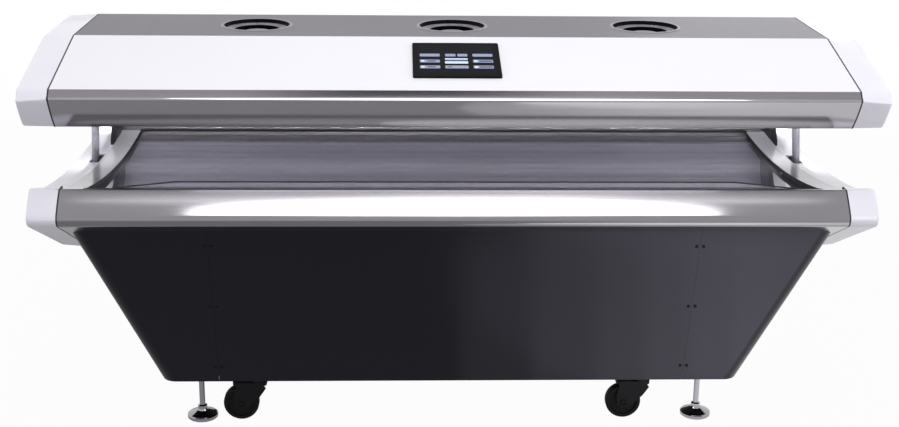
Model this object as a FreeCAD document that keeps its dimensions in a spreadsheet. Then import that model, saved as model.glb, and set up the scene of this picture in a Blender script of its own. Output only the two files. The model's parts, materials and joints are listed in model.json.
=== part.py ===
import FreeCAD, Part
import math
import os
import Sketcher

# Red light therapy bed: a lamp base on a skirted pedestal and a lamp canopy hinged along its rear.
# X runs along the bed, the front faces -Y, Z is up from the floor. All sizes are in millimetres.

DRIVING_SIZES = {
    "rail_length": 2029,
    "cap_length": 85,
    "cap_inset": 15,
    "cap_wall": 4,
    "seal_width": 4,
    "bed_depth": 1010,
    "base_top": 742,
    "base_face": 67,
    "base_tuck": 57,
    "nose_radius": 22,
    "belly_drop": 190,
    "belly_run": 354,
    "entry_gap": 164,
    "canopy_face": 85,
    "canopy_tuck": 60,
    "heel_land": 47,
    "panel_foot_rise": 21,
    "panel_foot_setback": 19,
    "roof_rise": 76,
    "roof_run": 318,
    "flange_reach": 185,
    "rail_land": 5,
    "rail_wall": 4,
    "rail_bulge_radius": 420,
    "trough_radius": 2980,
    "trough_depth": 68,
    "rim_drop": 1,
    "trough_half": 202,
    "trough_inset": 103,
    "rear_face_run": 26,
    "arch_rise": 55,
    "trim_width": 57,
    "trim_thickness": 5,
    "seat_seal_height": 9,
    "window_thickness": 8,
    "ledge_width": 30,
    "sheet": 2,
    "panel_sheet": 3,
    "end_plate": 6,
    "tray_depth": 156,
    "tray_front_run": 208,
    "tray_front_rise": 102,
    "tray_rear_run": 227,
    "tray_rear_rise": 62,
    "board_thickness": 6,
    "lamp_shoulder": 76,
    "lamp_headroom": 86,
    "lamp_spring_rise": 42,
    "skirt_bottom": 134,
    "skirt_bottom_length": 1624,
    "skirt_top_length": 2024,
    "skirt_inset": 80,
    "skirt_lean_run": 135,
    "skirt_corner": 42,
    "skirt_seam": 651,
    "louvre_rise": 190,
    "hinge_inset": 75,
    "hinge_rise": 83,
    "hinge_pin_radius": 8,
    "post_run": 138,
    "strut_offset": 28,
    "strut_foot_run": 360,
    "strut_foot_drop": 309,
    "strut_head_run": 207,
    "strut_head_rise": 175,
    "strut_tube_radius": 11,
    "strut_rod_radius": 5,
    "foot_spacing": 1418,
    "foot_inset": 58,
    "foot_pad_radius": 43,
    "foot_stem_radius": 8,
    "caster_spacing": 1090,
    "caster_inset": 48,
    "wheel_radius": 50,
    "wheel_width": 32,
    "caster_trail": 51,
    "floor_gap": 1,
    "frame_height": 40,
    "frame_width": 60,
    "supply_half_width": 62,
    "supply_height": 66,
    "fan_pitch": 545,
    "vent_radius": 94,
    "vent_depth": 18,
    "throat_radius": 60,
    "hub_radius": 37,
    "fan_height": 26,
    "screen_width": 228,
    "screen_length": 207,
    "screen_setback": 87,
    "running_gap": 0.5,
    "pivot_gap": 0.05,
}

doc = FreeCAD.newDocument("light_bed")
dims = doc.addObject("Spreadsheet::Sheet", "dims")


class Size:
    """A number together with the sheet expression that gives it."""

    def __init__(self, text, value):
        self.text = text
        self.value = value

    def __add__(self, other):
        return Size(f"({self.text}+{text_of(other)})", self.value + value_of(other))

    def __sub__(self, other):
        return Size(f"({self.text}-{text_of(other)})", self.value - value_of(other))

    def __mul__(self, other):
        return Size(f"({self.text}*{text_of(other)})", self.value * value_of(other))

    def __truediv__(self, other):
        return Size(f"({self.text}/{text_of(other)})", self.value / value_of(other))

    def __radd__(self, other):
        return Size(text_of(other), value_of(other)) + self

    def __rsub__(self, other):
        return Size(text_of(other), value_of(other)) - self

    def __rmul__(self, other):
        return self * other

    def __neg__(self):
        return self * -1


def text_of(size):
    return size.text if isinstance(size, Size) else f"({float(size)!r})"


def value_of(size):
    return size.value if isinstance(size, Size) else float(size)


def root(size):
    return Size(f"sqrt({size.text})", math.sqrt(size.value))


size = {}
for row, (name, number) in enumerate(DRIVING_SIZES.items(), start=1):
    dims.set(f"A{row}", name)
    dims.set(f"B{row}", str(number))
    dims.setAlias(f"B{row}", name)
    size[name] = Size(f"dims.{name}", float(number))
doc.recompute()


def work_out(name, amount):
    """Keeps a size that follows from others in the sheet, under its own name."""
    row = len(size) + 1
    dims.set(f"A{row}", name)
    dims.set(f"B{row}", "=" + amount.text.replace("dims.", ""))
    dims.setAlias(f"B{row}", name)
    size[name] = Size(f"dims.{name}", amount.value)
    return size[name]


def bind(feature, prop, amount):
    feature.setExpression(prop, text_of(amount))


def add_segment(sketch, start, end):
    """Adds a line, or an arc where the start carries a radius. Gives its index and its two end numbers."""
    a = FreeCAD.Vector(value_of(start[0]), value_of(start[1]), 0)
    b = FreeCAD.Vector(value_of(end[0]), value_of(end[1]), 0)
    if len(start) == 2:
        return sketch.addGeometry(Part.LineSegment(a, b), False), 1, 2
    radius = value_of(start[2])
    chord = b - a
    left = FreeCAD.Vector(-chord.y, chord.x, 0).normalize()
    reach = math.sqrt(radius * radius - chord.Length ** 2 / 4)
    bulges_right = radius > 0
    centre = (a + b) / 2 + left * (reach if bulges_right else -reach)
    first, last = (a, b) if bulges_right else (b, a)
    from_angle = math.atan2(first.y - centre.y, first.x - centre.x)
    to_angle = math.atan2(last.y - centre.y, last.x - centre.x)
    circle = Part.Circle(centre, FreeCAD.Vector(0, 0, 1), abs(radius))
    index = sketch.addGeometry(Part.ArcOfCircle(circle, from_angle, to_angle), False)
    row = sketch.addConstraint(Sketcher.Constraint("Radius", index, abs(radius)))
    sketch.setExpression(f"Constraints[{row}]", f"abs({text_of(start[2])})")
    return (index, 1, 2) if bulges_right else (index, 2, 1)


def place_point(sketch, index, end, spot):
    for kind, amount in (("DistanceX", spot[0]), ("DistanceY", spot[1])):
        row = sketch.addConstraint(Sketcher.Constraint(kind, -1, 1, index, end, value_of(amount)))
        sketch.setExpression(f"Constraints[{row}]", text_of(amount))


def add_loop(sketch, points):
    """Draws a closed outline. A positive radius after a point bulges to the right of the way to the next."""
    count = len(points)
    segments = []
    for i in range(count):
        segments.append(add_segment(sketch, points[i], points[(i + 1) % count]))
    for i in range(count):
        index, start, end = segments[i]
        after, after_start, after_end = segments[(i + 1) % count]
        sketch.addConstraint(Sketcher.Constraint("Coincident", index, end, after, after_start))
        place_point(sketch, index, start, points[i])


def add_circle(sketch, centre, radius):
    middle = FreeCAD.Vector(value_of(centre[0]), value_of(centre[1]), 0)
    circle = Part.Circle(middle, FreeCAD.Vector(0, 0, 1), value_of(radius))
    index = sketch.addGeometry(circle, False)
    place_point(sketch, index, 3, centre)
    row = sketch.addConstraint(Sketcher.Constraint("Radius", index, value_of(radius)))
    sketch.setExpression(f"Constraints[{row}]", text_of(radius))


def origin_feature(body, role):
    return [feature for feature in body.Origin.OriginFeatures if feature.Role == role][0]


def draw(body, role, loops, lift):
    """Sketches loops on an origin plane lifted along its normal. A loop is points or (centre, radius)."""
    sketch = body.newObject("Sketcher::SketchObject", "Outline")
    sketch.AttachmentSupport = [(origin_feature(body, role), "")]
    sketch.MapMode = "FlatFace"
    sketch.setExpression("AttachmentOffset.Base.z", text_of(lift))
    for loop in loops:
        if len(loop) == 2:
            add_circle(sketch, *loop)
        else:
            add_loop(sketch, loop)
    return sketch


def add_body(label):
    body = doc.addObject("PartDesign::Body", label)
    body.Label = label
    return body


def pad(body, role, loops, middle, length, kind="PartDesign::Pad"):
    """Adds or cuts a prism of the given length, centred at the middle along the plane's normal."""
    sketch = draw(body, role, loops, middle)
    feature = body.newObject(kind, "Prism")
    feature.Profile = sketch
    feature.Midplane = True
    bind(feature, "Length", length)
    return feature


def cut(body, role, loops, middle, length):
    return pad(body, role, loops, middle, length, "PartDesign::Pocket")


def loft(body, role, first, second, kind="PartDesign::AdditiveLoft"):
    """Lofts straight from one (loop, lift) to another."""
    start = draw(body, role, [first[0]], first[1])
    end = draw(body, role, [second[0]], second[1])
    feature = body.newObject(kind, "Taper")
    feature.Profile = start
    feature.Sections = [end]
    feature.Ruled = True
    return feature


def revolve(body, loop):
    """Turns an outline of radius and height about Z."""
    feature = body.newObject("PartDesign::Revolution", "Turning")
    feature.Profile = draw(body, "XZ_Plane", [loop], 0)
    feature.ReferenceAxis = (feature.Profile[0], ["V_Axis"])
    feature.Angle = 360
    return feature


def round_edges(body, radius, spots):
    """Rounds the long edges that run along X through the given (y, z) spots."""
    doc.recompute()
    feature = body.Tip
    names = []
    for number, edge in enumerate(feature.Shape.Edges, start=1):
        box = edge.BoundBox
        centre = edge.CenterOfMass
        for spot in spots:
            offset = math.hypot(centre.y - value_of(spot[0]), centre.z - value_of(spot[1]))
            if offset < 0.2 and box.XLength > 10 and box.YLength < 0.01:
                names.append(f"Edge{number}")
    rounding = body.newObject("PartDesign::Fillet", "Rounding")
    rounding.Base = (feature, names)
    bind(rounding, "Radius", radius)
    return rounding


def prism(label, role, loops, middle, length):
    body = add_body(label)
    pad(body, role, loops, middle, length)
    return body


def rectangle(left, bottom, right, top):
    return [(left, bottom), (right, bottom), (right, top), (left, top)]


def rounded(half_x, half_y, radius):
    """A rounded rectangle about the middle."""
    inner_x = half_x - radius
    inner_y = half_y - radius
    return [
        (-inner_x, -half_y), (inner_x, -half_y, radius), (half_x, -inner_y), (half_x, inner_y, radius),
        (inner_x, half_y), (-inner_x, half_y, radius), (-half_x, inner_y), (-half_x, -inner_y, radius),
    ]


def mirror(label, source, normal):
    feature = doc.addObject("Part::Mirroring", label)
    feature.Label = label
    feature.Source = source
    feature.Normal = FreeCAD.Vector(*normal)
    return feature


def group(label, members):
    feature = doc.addObject("Part::Compound", label)
    feature.Label = label
    feature.Links = members
    return feature


def move(body, x, y, z):
    bind(body, "Placement.Base.x", x)
    bind(body, "Placement.Base.y", y)
    bind(body, "Placement.Base.z", z)


ALONG_X = (1, 0, 0)
ALONG_Y = (0, 1, 0)
nodes = []

# Levels from the floor up and places across the bed that follow from the driving sizes
half_length = size["rail_length"] / 2
nose = size["bed_depth"] / 2
base_top = size["base_top"]
base_nose = base_top - size["base_face"]
belly_height = base_nose - size["belly_drop"]
belly = nose - size["belly_run"]
canopy_bottom = base_top + size["entry_gap"]
canopy_nose = canopy_bottom + size["canopy_face"]
panel_foot_height = canopy_nose + size["panel_foot_rise"]
canopy_top = panel_foot_height + size["roof_rise"]
foot_y = nose - size["panel_foot_setback"]
top_half = foot_y - size["roof_run"]
trough_low = base_top - size["trough_depth"]
trough_rear = nose - size["trough_inset"]
trough_middle = trough_rear - size["trough_half"]
arch_half = nose - size["canopy_tuck"] - size["heel_land"]
skirt_head = nose - size["skirt_inset"]
skirt_foot = skirt_head - size["skirt_lean_run"]
frame_y = skirt_foot - size["foot_inset"]
hinge = (nose - size["hinge_inset"], base_top + size["hinge_rise"])
strut_foot = (hinge[0] - size["strut_foot_run"], hinge[1] - size["strut_foot_drop"])
strut_head = (hinge[0] - size["strut_head_run"], hinge[1] + size["strut_head_rise"])

# Shared sections and their walls
rail_wall = size["rail_wall"]
rail_bulge = size["rail_bulge_radius"]
sheet = size["sheet"]
trim_drop = size["trim_thickness"]
window_drop = trim_drop + size["seat_seal_height"]
window_floor = window_drop + size["window_thickness"]
land_front = -nose + size["base_tuck"] + size["rail_land"]
ledge_front = land_front + size["ledge_width"]
ledge_rear = trough_rear - size["ledge_width"]
flange_rise = rail_wall * 1.16
pan_rise = flange_rise + sheet * 1.16
plate_outer = half_length
plate_middle = half_length - size["end_plate"] / 2
plate_inner = half_length - size["end_plate"]
cap_start = half_length + size["seal_width"]
cap_end = half_length + size["cap_length"]


front_run = trough_middle - land_front
front_rise = size["trough_depth"] - size["rim_drop"]
front_radius = work_out("front_radius", (front_run * front_run + front_rise * front_rise) / (front_rise * 2))
rear_radius = size["trough_radius"]


def trough(y, drop):
    """Height of the lying curve, lowered by a drop along its radius. Its two halves meet at the lowest line."""
    full = front_radius if value_of(y) < value_of(trough_middle) else rear_radius
    radius = full + drop
    across = y - trough_middle
    return trough_low + full - root(radius * radius - across * across)


def trough_back(end, drop):
    """The lying curve as outline points, from an end at the rear to its lowest line and on to the front."""
    return [
        (end, trough(end, drop), -rear_radius - drop),
        (trough_middle, trough_low - drop, -front_radius - drop),
    ]


def chin_line(name, keel, centre, radius):
    """The line from the keel that touches the round nose: its slope, and the point where it touches."""
    reach = centre[0] - keel[0]
    drop = centre[1] - keel[1]
    span = work_out(f"{name}_span", reach * reach + drop * drop)
    tangent = work_out(f"{name}_tangent", root(span - radius * radius))
    rise = work_out(f"{name}_rise", (drop * tangent - radius * reach) / span)
    run = work_out(f"{name}_run", (reach * tangent + radius * drop) / span)
    return rise / run, (centre[0] + radius * rise, centre[1] - radius * run)


def brow_point(centre, radius):
    """Where the bulged face above runs into the round nose."""
    return centre[0] + radius * 0.788, centre[1] + radius * 0.616


nose_radius = size["nose_radius"]
nose_centre = (nose - nose_radius, base_nose)
chin_slope, chin = chin_line("chin", (belly, belly_height), nose_centre, nose_radius)
belly_slope = work_out("belly_slope", chin_slope)
brow = brow_point(nose_centre, nose_radius)


def belly_line(distance):
    """Height of the underside at a distance from the middle plane."""
    return belly_height + (distance - belly) * belly_slope


arch_radius = (arch_half * arch_half + size["arch_rise"] * size["arch_rise"]) / (size["arch_rise"] * 2)


def arch(y, lift):
    """Height of the canopy's arched underside, lifted along its radius."""
    radius = arch_radius + lift
    return canopy_bottom + size["arch_rise"] - arch_radius + root(radius * radius - y * y)


panel_slope = size["roof_rise"] / size["roof_run"]
panel_drop = size["panel_sheet"] * 1.03


def roof(distance, drop):
    """Height of the sloping canopy panel at a distance from the middle plane."""
    return canopy_top - (distance - top_half) * panel_slope - drop


# Base rails: hollow bullnose extrusions with a ledge for the lying panel and a flange below
flange_end = nose - size["flange_reach"]
base_shoulder = nose - size["base_tuck"]
front_rail = prism("base_front_rail", "YZ_Plane", [
    [
        (-base_shoulder, base_top, rail_bulge),
        (-brow[0], brow[1], nose_radius),
        (-chin[0], chin[1]),
        (-flange_end, belly_line(flange_end)),
        (-flange_end + 2, belly_line(flange_end - 2) + flange_rise),
        (ledge_front, belly_line(-ledge_front) + flange_rise),
        (ledge_front, trough(ledge_front, window_floor)),
        (land_front, trough(land_front, window_floor)),
        (land_front, base_top),
    ],
    [
        (-base_shoulder - 0.5, base_top - 10),
        (-nose + 8, base_nose + 1),
        (ledge_front - rail_wall, belly_line(-ledge_front) + flange_rise + 2.5),
        (ledge_front - rail_wall, trough(ledge_front, window_floor) - rail_wall),
        (land_front - rail_wall, trough(land_front, window_floor) - rail_wall),
    ],
], 0, size["rail_length"])
round_edges(front_rail, 4, [(-base_shoulder, base_top)])
rear_land = trough_rear + size["rear_face_run"]
rear_rail = prism("base_rear_rail", "YZ_Plane", [
    [
        (base_shoulder, base_top),
        (rear_land, base_top),
        (trough_rear, trough(trough_rear, 0) + 9),
        (trough_rear, trough(trough_rear, window_floor)),
        (ledge_rear, trough(ledge_rear, window_floor)),
        (ledge_rear, belly_line(ledge_rear) + flange_rise),
        (flange_end - 2, belly_line(flange_end - 2) + flange_rise),
        (flange_end, belly_line(flange_end)),
        (chin[0], chin[1], nose_radius),
        (brow[0], brow[1], rail_bulge),
    ],
    [
        (base_shoulder - 2.5, base_top - rail_wall),
        (rear_land + rail_wall, base_top - rail_wall),
        (trough_rear + rail_wall + 1, trough(trough_rear, 0) + 7),
        (trough_rear + rail_wall + 1, trough(trough_rear, window_floor) - rail_wall),
        (ledge_rear + rail_wall, trough(ledge_rear, window_floor) - rail_wall),
        (ledge_rear + rail_wall, belly_line(ledge_rear) + flange_rise + 2.5),
        (nose - 8, base_nose + 1),
    ],
], 0, size["rail_length"])
round_edges(rear_rail, 4, [(base_shoulder, base_top)])
nodes += [front_rail, rear_rail]

# Tub pan: bent sheet lying on the two rail flanges
nodes.append(prism("base_tub_pan", "YZ_Plane", [[
    (ledge_front + 1, belly_line(-ledge_front - 1) + flange_rise),
    (-belly, belly_height + flange_rise),
    (belly, belly_height + flange_rise),
    (ledge_rear - 1, belly_line(ledge_rear - 1) + flange_rise),
    (ledge_rear - 1, belly_line(ledge_rear - 1) + pan_rise),
    (belly, belly_height + pan_rise),
    (-belly, belly_height + pan_rise),
    (ledge_front + 1, belly_line(-ledge_front - 1) + pan_rise),
]], 0, size["rail_length"]))


def trough_band(start, end, upper, lower):
    """A curved band between two drops below the lying curve."""
    return [
        (start, trough(start, lower), front_radius + lower),
        (trough_middle, trough_low - lower, rear_radius + lower),
        (end, trough(end, lower)),
        *trough_back(end, upper),
        (start, trough(start, upper)),
    ]


# Lying panel of clear acrylic, its end seals and the end trims above them
nodes.append(prism("lying_panel", "YZ_Plane", [
    trough_band(land_front, trough_rear, window_drop, window_floor),
], 0, size["rail_length"] - 28))
trim_inner = half_length - size["trim_width"]
trim = prism("saddle_trim", "YZ_Plane", [
    trough_band(land_front, trough_rear, 0, trim_drop),
], half_length - size["trim_width"] / 2, size["trim_width"])
nodes.append(group("saddle_trims", [trim, mirror("saddle_trim_left", trim, ALONG_X)]))
seat_seal_length = size["trim_width"] - 17
seat_seal = prism("saddle_seal", "YZ_Plane", [
    trough_band(land_front, trough_rear, trim_drop, window_drop),
], trim_inner + 3 + seat_seal_length / 2, seat_seal_length)
nodes.append(group("saddle_seals", [seat_seal, mirror("saddle_seal_left", seat_seal, ALONG_X)]))

# Lamp tray under the lying panel, with its boards
tray_floor = base_top - size["tray_depth"]
tray_front = ledge_front + size["tray_front_run"]
tray_rear = ledge_rear - size["tray_rear_run"]
tray_front_top = tray_floor + size["tray_front_rise"]
tray_rear_top = tray_floor + size["tray_rear_rise"]


def front_wall(y):
    return tray_floor + (tray_front - y) * (tray_front_top - tray_floor) / (tray_front - ledge_front)


def rear_wall(y):
    return tray_floor + (y - tray_rear) * (tray_rear_top - tray_floor) / (ledge_rear - tray_rear)


tray_length = size["rail_length"] - size["end_plate"] * 2
nodes.append(prism("base_lamp_tray", "YZ_Plane", [[
    (ledge_front, tray_front_top - sheet),
    (tray_front, tray_floor - sheet),
    (tray_rear, tray_floor - sheet),
    (ledge_rear, tray_rear_top - sheet),
    (ledge_rear, tray_rear_top),
    (tray_rear, tray_floor),
    (tray_front, tray_floor),
    (ledge_front, tray_front_top),
]], 0, tray_length))
board_rise = size["board_thickness"]
board_length = tray_length - 60


def board(label, start, end, height):
    """A lamp board between two places across the tray, lying on the tray."""
    return prism(label, "YZ_Plane", [[
        (start, height(start)),
        (end, height(end)),
        (end, height(end) + board_rise),
        (start, height(start) + board_rise),
    ]], 0, board_length)


nodes.append(group("base_lamp_boards", [
    board("base_board_front", ledge_front + 24, tray_front - 10, front_wall),
    board("base_board_floor", tray_front + 12, tray_rear - 12, lambda y: tray_floor),
    board("base_board_rear", tray_rear + 10, ledge_rear - 16, rear_wall),
]))

# End plates: each carries the hinge post and the lower strut stud of its end
strut_x = half_length + size["strut_offset"]
hinge_head = size["hinge_pin_radius"] + 14
arm_thickness = 8
post_inner = half_length + arm_thickness + size["running_gap"]
post_thickness = arm_thickness
post_foot = arm_thickness + size["running_gap"] + post_thickness
post_front = hinge[0] - size["post_run"]
post_rear = hinge[0] + 10
post_floor = belly_line(post_rear) + pan_rise + 8
post_knee = trough(post_front, 0) + 2


def post_outline(grow):
    """The post's foot, below its head, grown by a margin."""
    return [
        (post_front - grow, post_floor - grow),
        (post_rear + grow, post_floor - grow),
        (post_rear + grow, hinge[1] - hinge_head - 8),
        (hinge[0] - hinge_head - 16, hinge[1] - hinge_head - 8),
        (post_front - grow, post_knee + grow),
    ]


base_end = prism("base_end_frame", "YZ_Plane", [[
    (ledge_front, trough(ledge_front, trim_drop)),
    (ledge_front, belly_line(-ledge_front) + pan_rise),
    (-belly, belly_height + pan_rise),
    (belly, belly_height + pan_rise),
    (ledge_rear, belly_line(ledge_rear) + pan_rise),
    *trough_back(ledge_rear, trim_drop),
]], plate_middle, size["end_plate"])
pad(base_end, "YZ_Plane", [post_outline(0)], half_length + post_foot / 2, post_foot)
head_middle = post_inner + post_thickness / 2
pad(base_end, "YZ_Plane", [[
    (post_rear, hinge[1] - hinge_head - 8),
    (post_rear, hinge[1]),
    (hinge[0] - hinge_head, hinge[1]),
    (hinge[0] - hinge_head - 16, hinge[1] - hinge_head - 8),
]], head_middle, post_thickness)
pad(base_end, "YZ_Plane", [(hinge, hinge_head)], head_middle, post_thickness)
pin_reach = arm_thickness + 4
pad(base_end, "YZ_Plane", [(hinge, size["hinge_pin_radius"])], post_inner - pin_reach / 2, pin_reach)
stud_block = size["strut_offset"] - 8
pad(base_end, "YZ_Plane", [(strut_foot, 15)], half_length + stud_block / 2, stud_block)
stud_reach = 20
pad(base_end, "YZ_Plane", [(strut_foot, 5)], half_length + stud_block + stud_reach / 2, stud_reach)
nodes.append(group("base_end_frames", [base_end, mirror("base_end_frame_left", base_end, ALONG_X)]))

# Pedestal frame inside the skirt
frame_floor = size["skirt_bottom"] + 6
frame_roof = frame_floor + size["frame_height"]
frame_half = size["skirt_bottom_length"] / 2 - 32
frame_half_width = size["frame_width"] / 2
stem_bore = size["foot_stem_radius"] + size["pivot_gap"]
foot_x = size["foot_spacing"] / 2
frame_rail = prism("frame_rail", "YZ_Plane", [
    rectangle(-frame_y - frame_half_width, frame_floor, -frame_y + frame_half_width, frame_roof),
    rectangle(-frame_y - frame_half_width + 3, frame_floor + 3,
              -frame_y + frame_half_width - 3, frame_roof - 3),
], 0, frame_half * 2)
for side in (-1, 1):
    cut(frame_rail, "XY_Plane", [((foot_x * side, -frame_y), stem_bore)], frame_floor, 12)
nodes.append(group("frame_rails", [frame_rail, mirror("frame_rail_rear", frame_rail, ALONG_Y)]))
cross_reach = frame_y - frame_half_width
tube_half = size["frame_height"] / 2
tube_wall = 3


def square_tube(x, y):
    """Outer and inner outline of a square tube about a spot."""
    inside = tube_half - tube_wall
    return [
        rectangle(x - tube_half, y - tube_half, x + tube_half, y + tube_half),
        rectangle(x - inside, y - inside, x + inside, y + inside),
    ]


frame_members = []
for place in (-0.78, -0.26, 0.26, 0.78):
    member_x = frame_half * place
    frame_members.append(prism("frame_cross", "XZ_Plane", square_tube(member_x, frame_floor + tube_half),
                               0, cross_reach * 2))
    upright_top = belly_line(frame_y + tube_half) + flange_rise
    upright = prism("frame_upright", "XY_Plane", square_tube(member_x, -frame_y),
                    (frame_roof + upright_top) / 2, upright_top - frame_roof)
    cut(upright, "YZ_Plane", [[
        (-nose, belly_line(nose) + flange_rise),
        (-belly, belly_height + flange_rise),
        (-belly, base_top),
        (-nose, base_top),
    ]], member_x, size["frame_height"] * 2)
    frame_members.append(upright)
    frame_members.append(mirror("frame_upright_rear", upright, ALONG_Y))
nodes.append(group("frame_members", frame_members))
supply_length = frame_half * 0.3
supply_half = size["supply_half_width"]
supplies = []
for place in (-0.52, 0, 0.52):
    supplies.append(prism("power_supply", "YZ_Plane", [
        rectangle(-supply_half, frame_floor, supply_half, frame_floor + size["supply_height"]),
    ], frame_half * place, supply_length))
nodes.append(group("power_supplies", supplies))
pan_middle = frame_floor - sheet / 2
bottom_pan = prism("bottom_pan", "XY_Plane", [
    rectangle(-frame_half, -cross_reach, frame_half, cross_reach),
], pan_middle, sheet)
for place in (-0.52, 0, 0.52):
    for slot in range(-2, 3):
        cut(bottom_pan, "XY_Plane", [
            rectangle(frame_half * place + slot * 32 - 6, -cross_reach + 20,
                      frame_half * place + slot * 32 + 6, -70),
        ], pan_middle, sheet * 2)
nodes.append(bottom_pan)

# Skirt: a front and a rear panel between two wrap-around end shells
skirt_bottom = size["skirt_bottom"]
skirt_roof = belly_line(skirt_head)
skirt_lean = size["skirt_lean_run"] / (skirt_roof - skirt_bottom)
seam = size["skirt_seam"]
seam_gap = 0.4
skirt_front = prism("skirt_front_panel", "YZ_Plane", [[
    (-skirt_foot, skirt_bottom),
    (-skirt_foot + sheet, skirt_bottom),
    (-skirt_head + sheet, belly_line(skirt_head - sheet)),
    (-skirt_head, skirt_roof),
]], 0, (seam - seam_gap) * 2)
nodes.append(skirt_front)
skirt_rear = prism("skirt_rear_panel", "YZ_Plane", [[
    (skirt_foot, skirt_bottom),
    (skirt_head, skirt_roof),
    (skirt_head - sheet, belly_line(skirt_head - sheet)),
    (skirt_foot - sheet, skirt_bottom),
]], 0, (seam - seam_gap) * 2)
for side in (-1, 1):
    for slot in range(9):
        level = skirt_bottom + size["louvre_rise"] + slot * 18
        cut(skirt_rear, "XZ_Plane", [
            rectangle(seam * side * 0.55 - 110, level, seam * side * 0.55 + 110, level + 7),
        ], -skirt_head, skirt_head)
nodes.append(skirt_rear)
shell = add_body("skirt_right_shell")
bottom_half = size["skirt_bottom_length"] / 2
head_half = size["skirt_top_length"] / 2
corner = size["skirt_corner"]
loft(shell, "XY_Plane", (rounded(bottom_half, skirt_foot, corner), skirt_bottom),
     (rounded(head_half, skirt_head, corner), skirt_roof))
loft(shell, "XY_Plane", (rounded(bottom_half - sheet, skirt_foot - sheet, corner - sheet), skirt_bottom),
     (rounded(head_half - sheet, skirt_head - sheet, corner - sheet), skirt_roof),
     "PartDesign::SubtractiveLoft")
cut(shell, "YZ_Plane", [[
    (-nose, belly_line(nose)),
    (-belly, belly_height),
    (belly, belly_height),
    (nose, belly_line(nose)),
]], 0, size["rail_length"] * 2)
cut(shell, "XZ_Plane", [rectangle(-half_length * 2, 0, seam, base_top)], 0, size["bed_depth"] * 2)
nodes += [shell, mirror("skirt_left_shell", shell, ALONG_X)]

# Mains inlet on the lower rear panel, square to the leaning sheet
inlet = add_body("mains_inlet")
pad(inlet, "XZ_Plane", [rectangle(-31, -19, 31, 19)], -2, 4)
cut(inlet, "XZ_Plane", [rectangle(-16, -11, 16, 11)], -3, 4)
inlet_height = 92
move(inlet, seam * 0.8, skirt_foot + skirt_lean * inlet_height, skirt_bottom + inlet_height)
inlet.Placement.Rotation = FreeCAD.Rotation(FreeCAD.Vector(1, 0, 0), -11)
inlet.setExpression("Placement.Rotation.Angle", f"atan({skirt_lean.text})")
inlet.setExpression("Placement.Rotation.Axis.x", "-1")
nodes.append(inlet)

# End caps and their seals
cap_wall = size["cap_wall"]
saddle_drop = 12
horn = base_shoulder - 30


def base_section(taper, wall):
    """Outline of the base at its ends, tapered toward the outside and drawn in by a wall."""
    crown = base_top - taper * 0.27 - wall
    shoulder = base_shoulder - taper * 1.2 - wall * 0.9
    round_radius = nose_radius - wall
    round_centre = (nose_centre[0] - taper * 1.4, nose_centre[1] - taper * 0.47)
    keel = belly - taper * 1.27 - wall * 0.3
    keel_height = belly_height + wall
    under_slope, under = chin_line(f"under_{len(size)}", (keel, keel_height), round_centre, round_radius)
    over = brow_point(round_centre, round_radius)
    step = horn + wall
    drop = saddle_drop + wall
    return [
        (-shoulder, crown, rail_bulge),
        (-over[0], over[1], round_radius),
        (-under[0], under[1]),
        (-keel, keel_height),
        (keel, keel_height),
        (under[0], under[1], round_radius),
        (over[0], over[1], rail_bulge),
        (shoulder, crown),
        (step, crown),
        *trough_back(step, drop),
        (-step, trough(-step, drop)),
        (-step, crown),
    ]


def canopy_section(taper, wall):
    """Outline of the canopy at its ends, tapered toward the outside and drawn in by a wall."""
    roof_half = top_half - taper * 0.7 - wall * 0.2
    foot = foot_y - taper * 0.93 - wall
    tip = nose - taper * 0.9 - wall
    heel = nose - size["canopy_tuck"] - taper * 0.45 - wall * 0.6
    bottom = canopy_bottom + wall
    springing = arch_half + wall
    return [
        (-roof_half, canopy_top - taper * 0.27 - wall),
        (-foot, panel_foot_height - taper * 0.4 - wall),
        (-tip, canopy_nose - taper * 0.6, rail_bulge),
        (-heel, bottom),
        (-springing, arch(springing, wall), -arch_radius - wall),
        (springing, arch(springing, wall)),
        (heel, bottom, rail_bulge),
        (tip, canopy_nose - taper * 0.6),
        (foot, panel_foot_height - taper * 0.4 - wall),
        (roof_half, canopy_top - taper * 0.27 - wall),
    ]


def end_cap(label, section):
    """A hollow tapered cover, open toward the middle of the bed."""
    cap = add_body(label)
    taper = size["cap_inset"]
    hollow_end = cap_end - cap_wall
    loft(cap, "YZ_Plane", (section(0, 0), cap_start), (section(taper, 0), cap_end))
    loft(cap, "YZ_Plane", (section(0, cap_wall), cap_start), (section(taper, cap_wall), hollow_end),
         "PartDesign::SubtractiveLoft")
    return cap


def end_seal(label, section):
    """A thin seal between the rails and an end cap."""
    return prism(label, "YZ_Plane", [section(0, 0), section(0, 7)],
                 half_length + size["seal_width"] / 2, size["seal_width"])


strut_clear = size["strut_tube_radius"] + 3


def cut_post_notch(body):
    cut(body, "YZ_Plane", [post_outline(1)], half_length, (post_foot + 1) * 2)


base_cap = end_cap("base_right_cap", base_section)
cut_post_notch(base_cap)
slot_front = strut_foot[0] + 20
slot_rear = strut_foot[0] + 116
cut(base_cap, "XY_Plane", [
    rectangle(strut_x - strut_clear, slot_front, strut_x + strut_clear, slot_rear),
], base_top - 60, 100)
base_seal = end_seal("base_seal", base_section)
cut_post_notch(base_seal)
nodes += [base_cap, mirror("base_left_cap", base_cap, ALONG_X)]
nodes.append(group("base_end_seals", [base_seal, mirror("base_seal_left", base_seal, ALONG_X)]))

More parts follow.
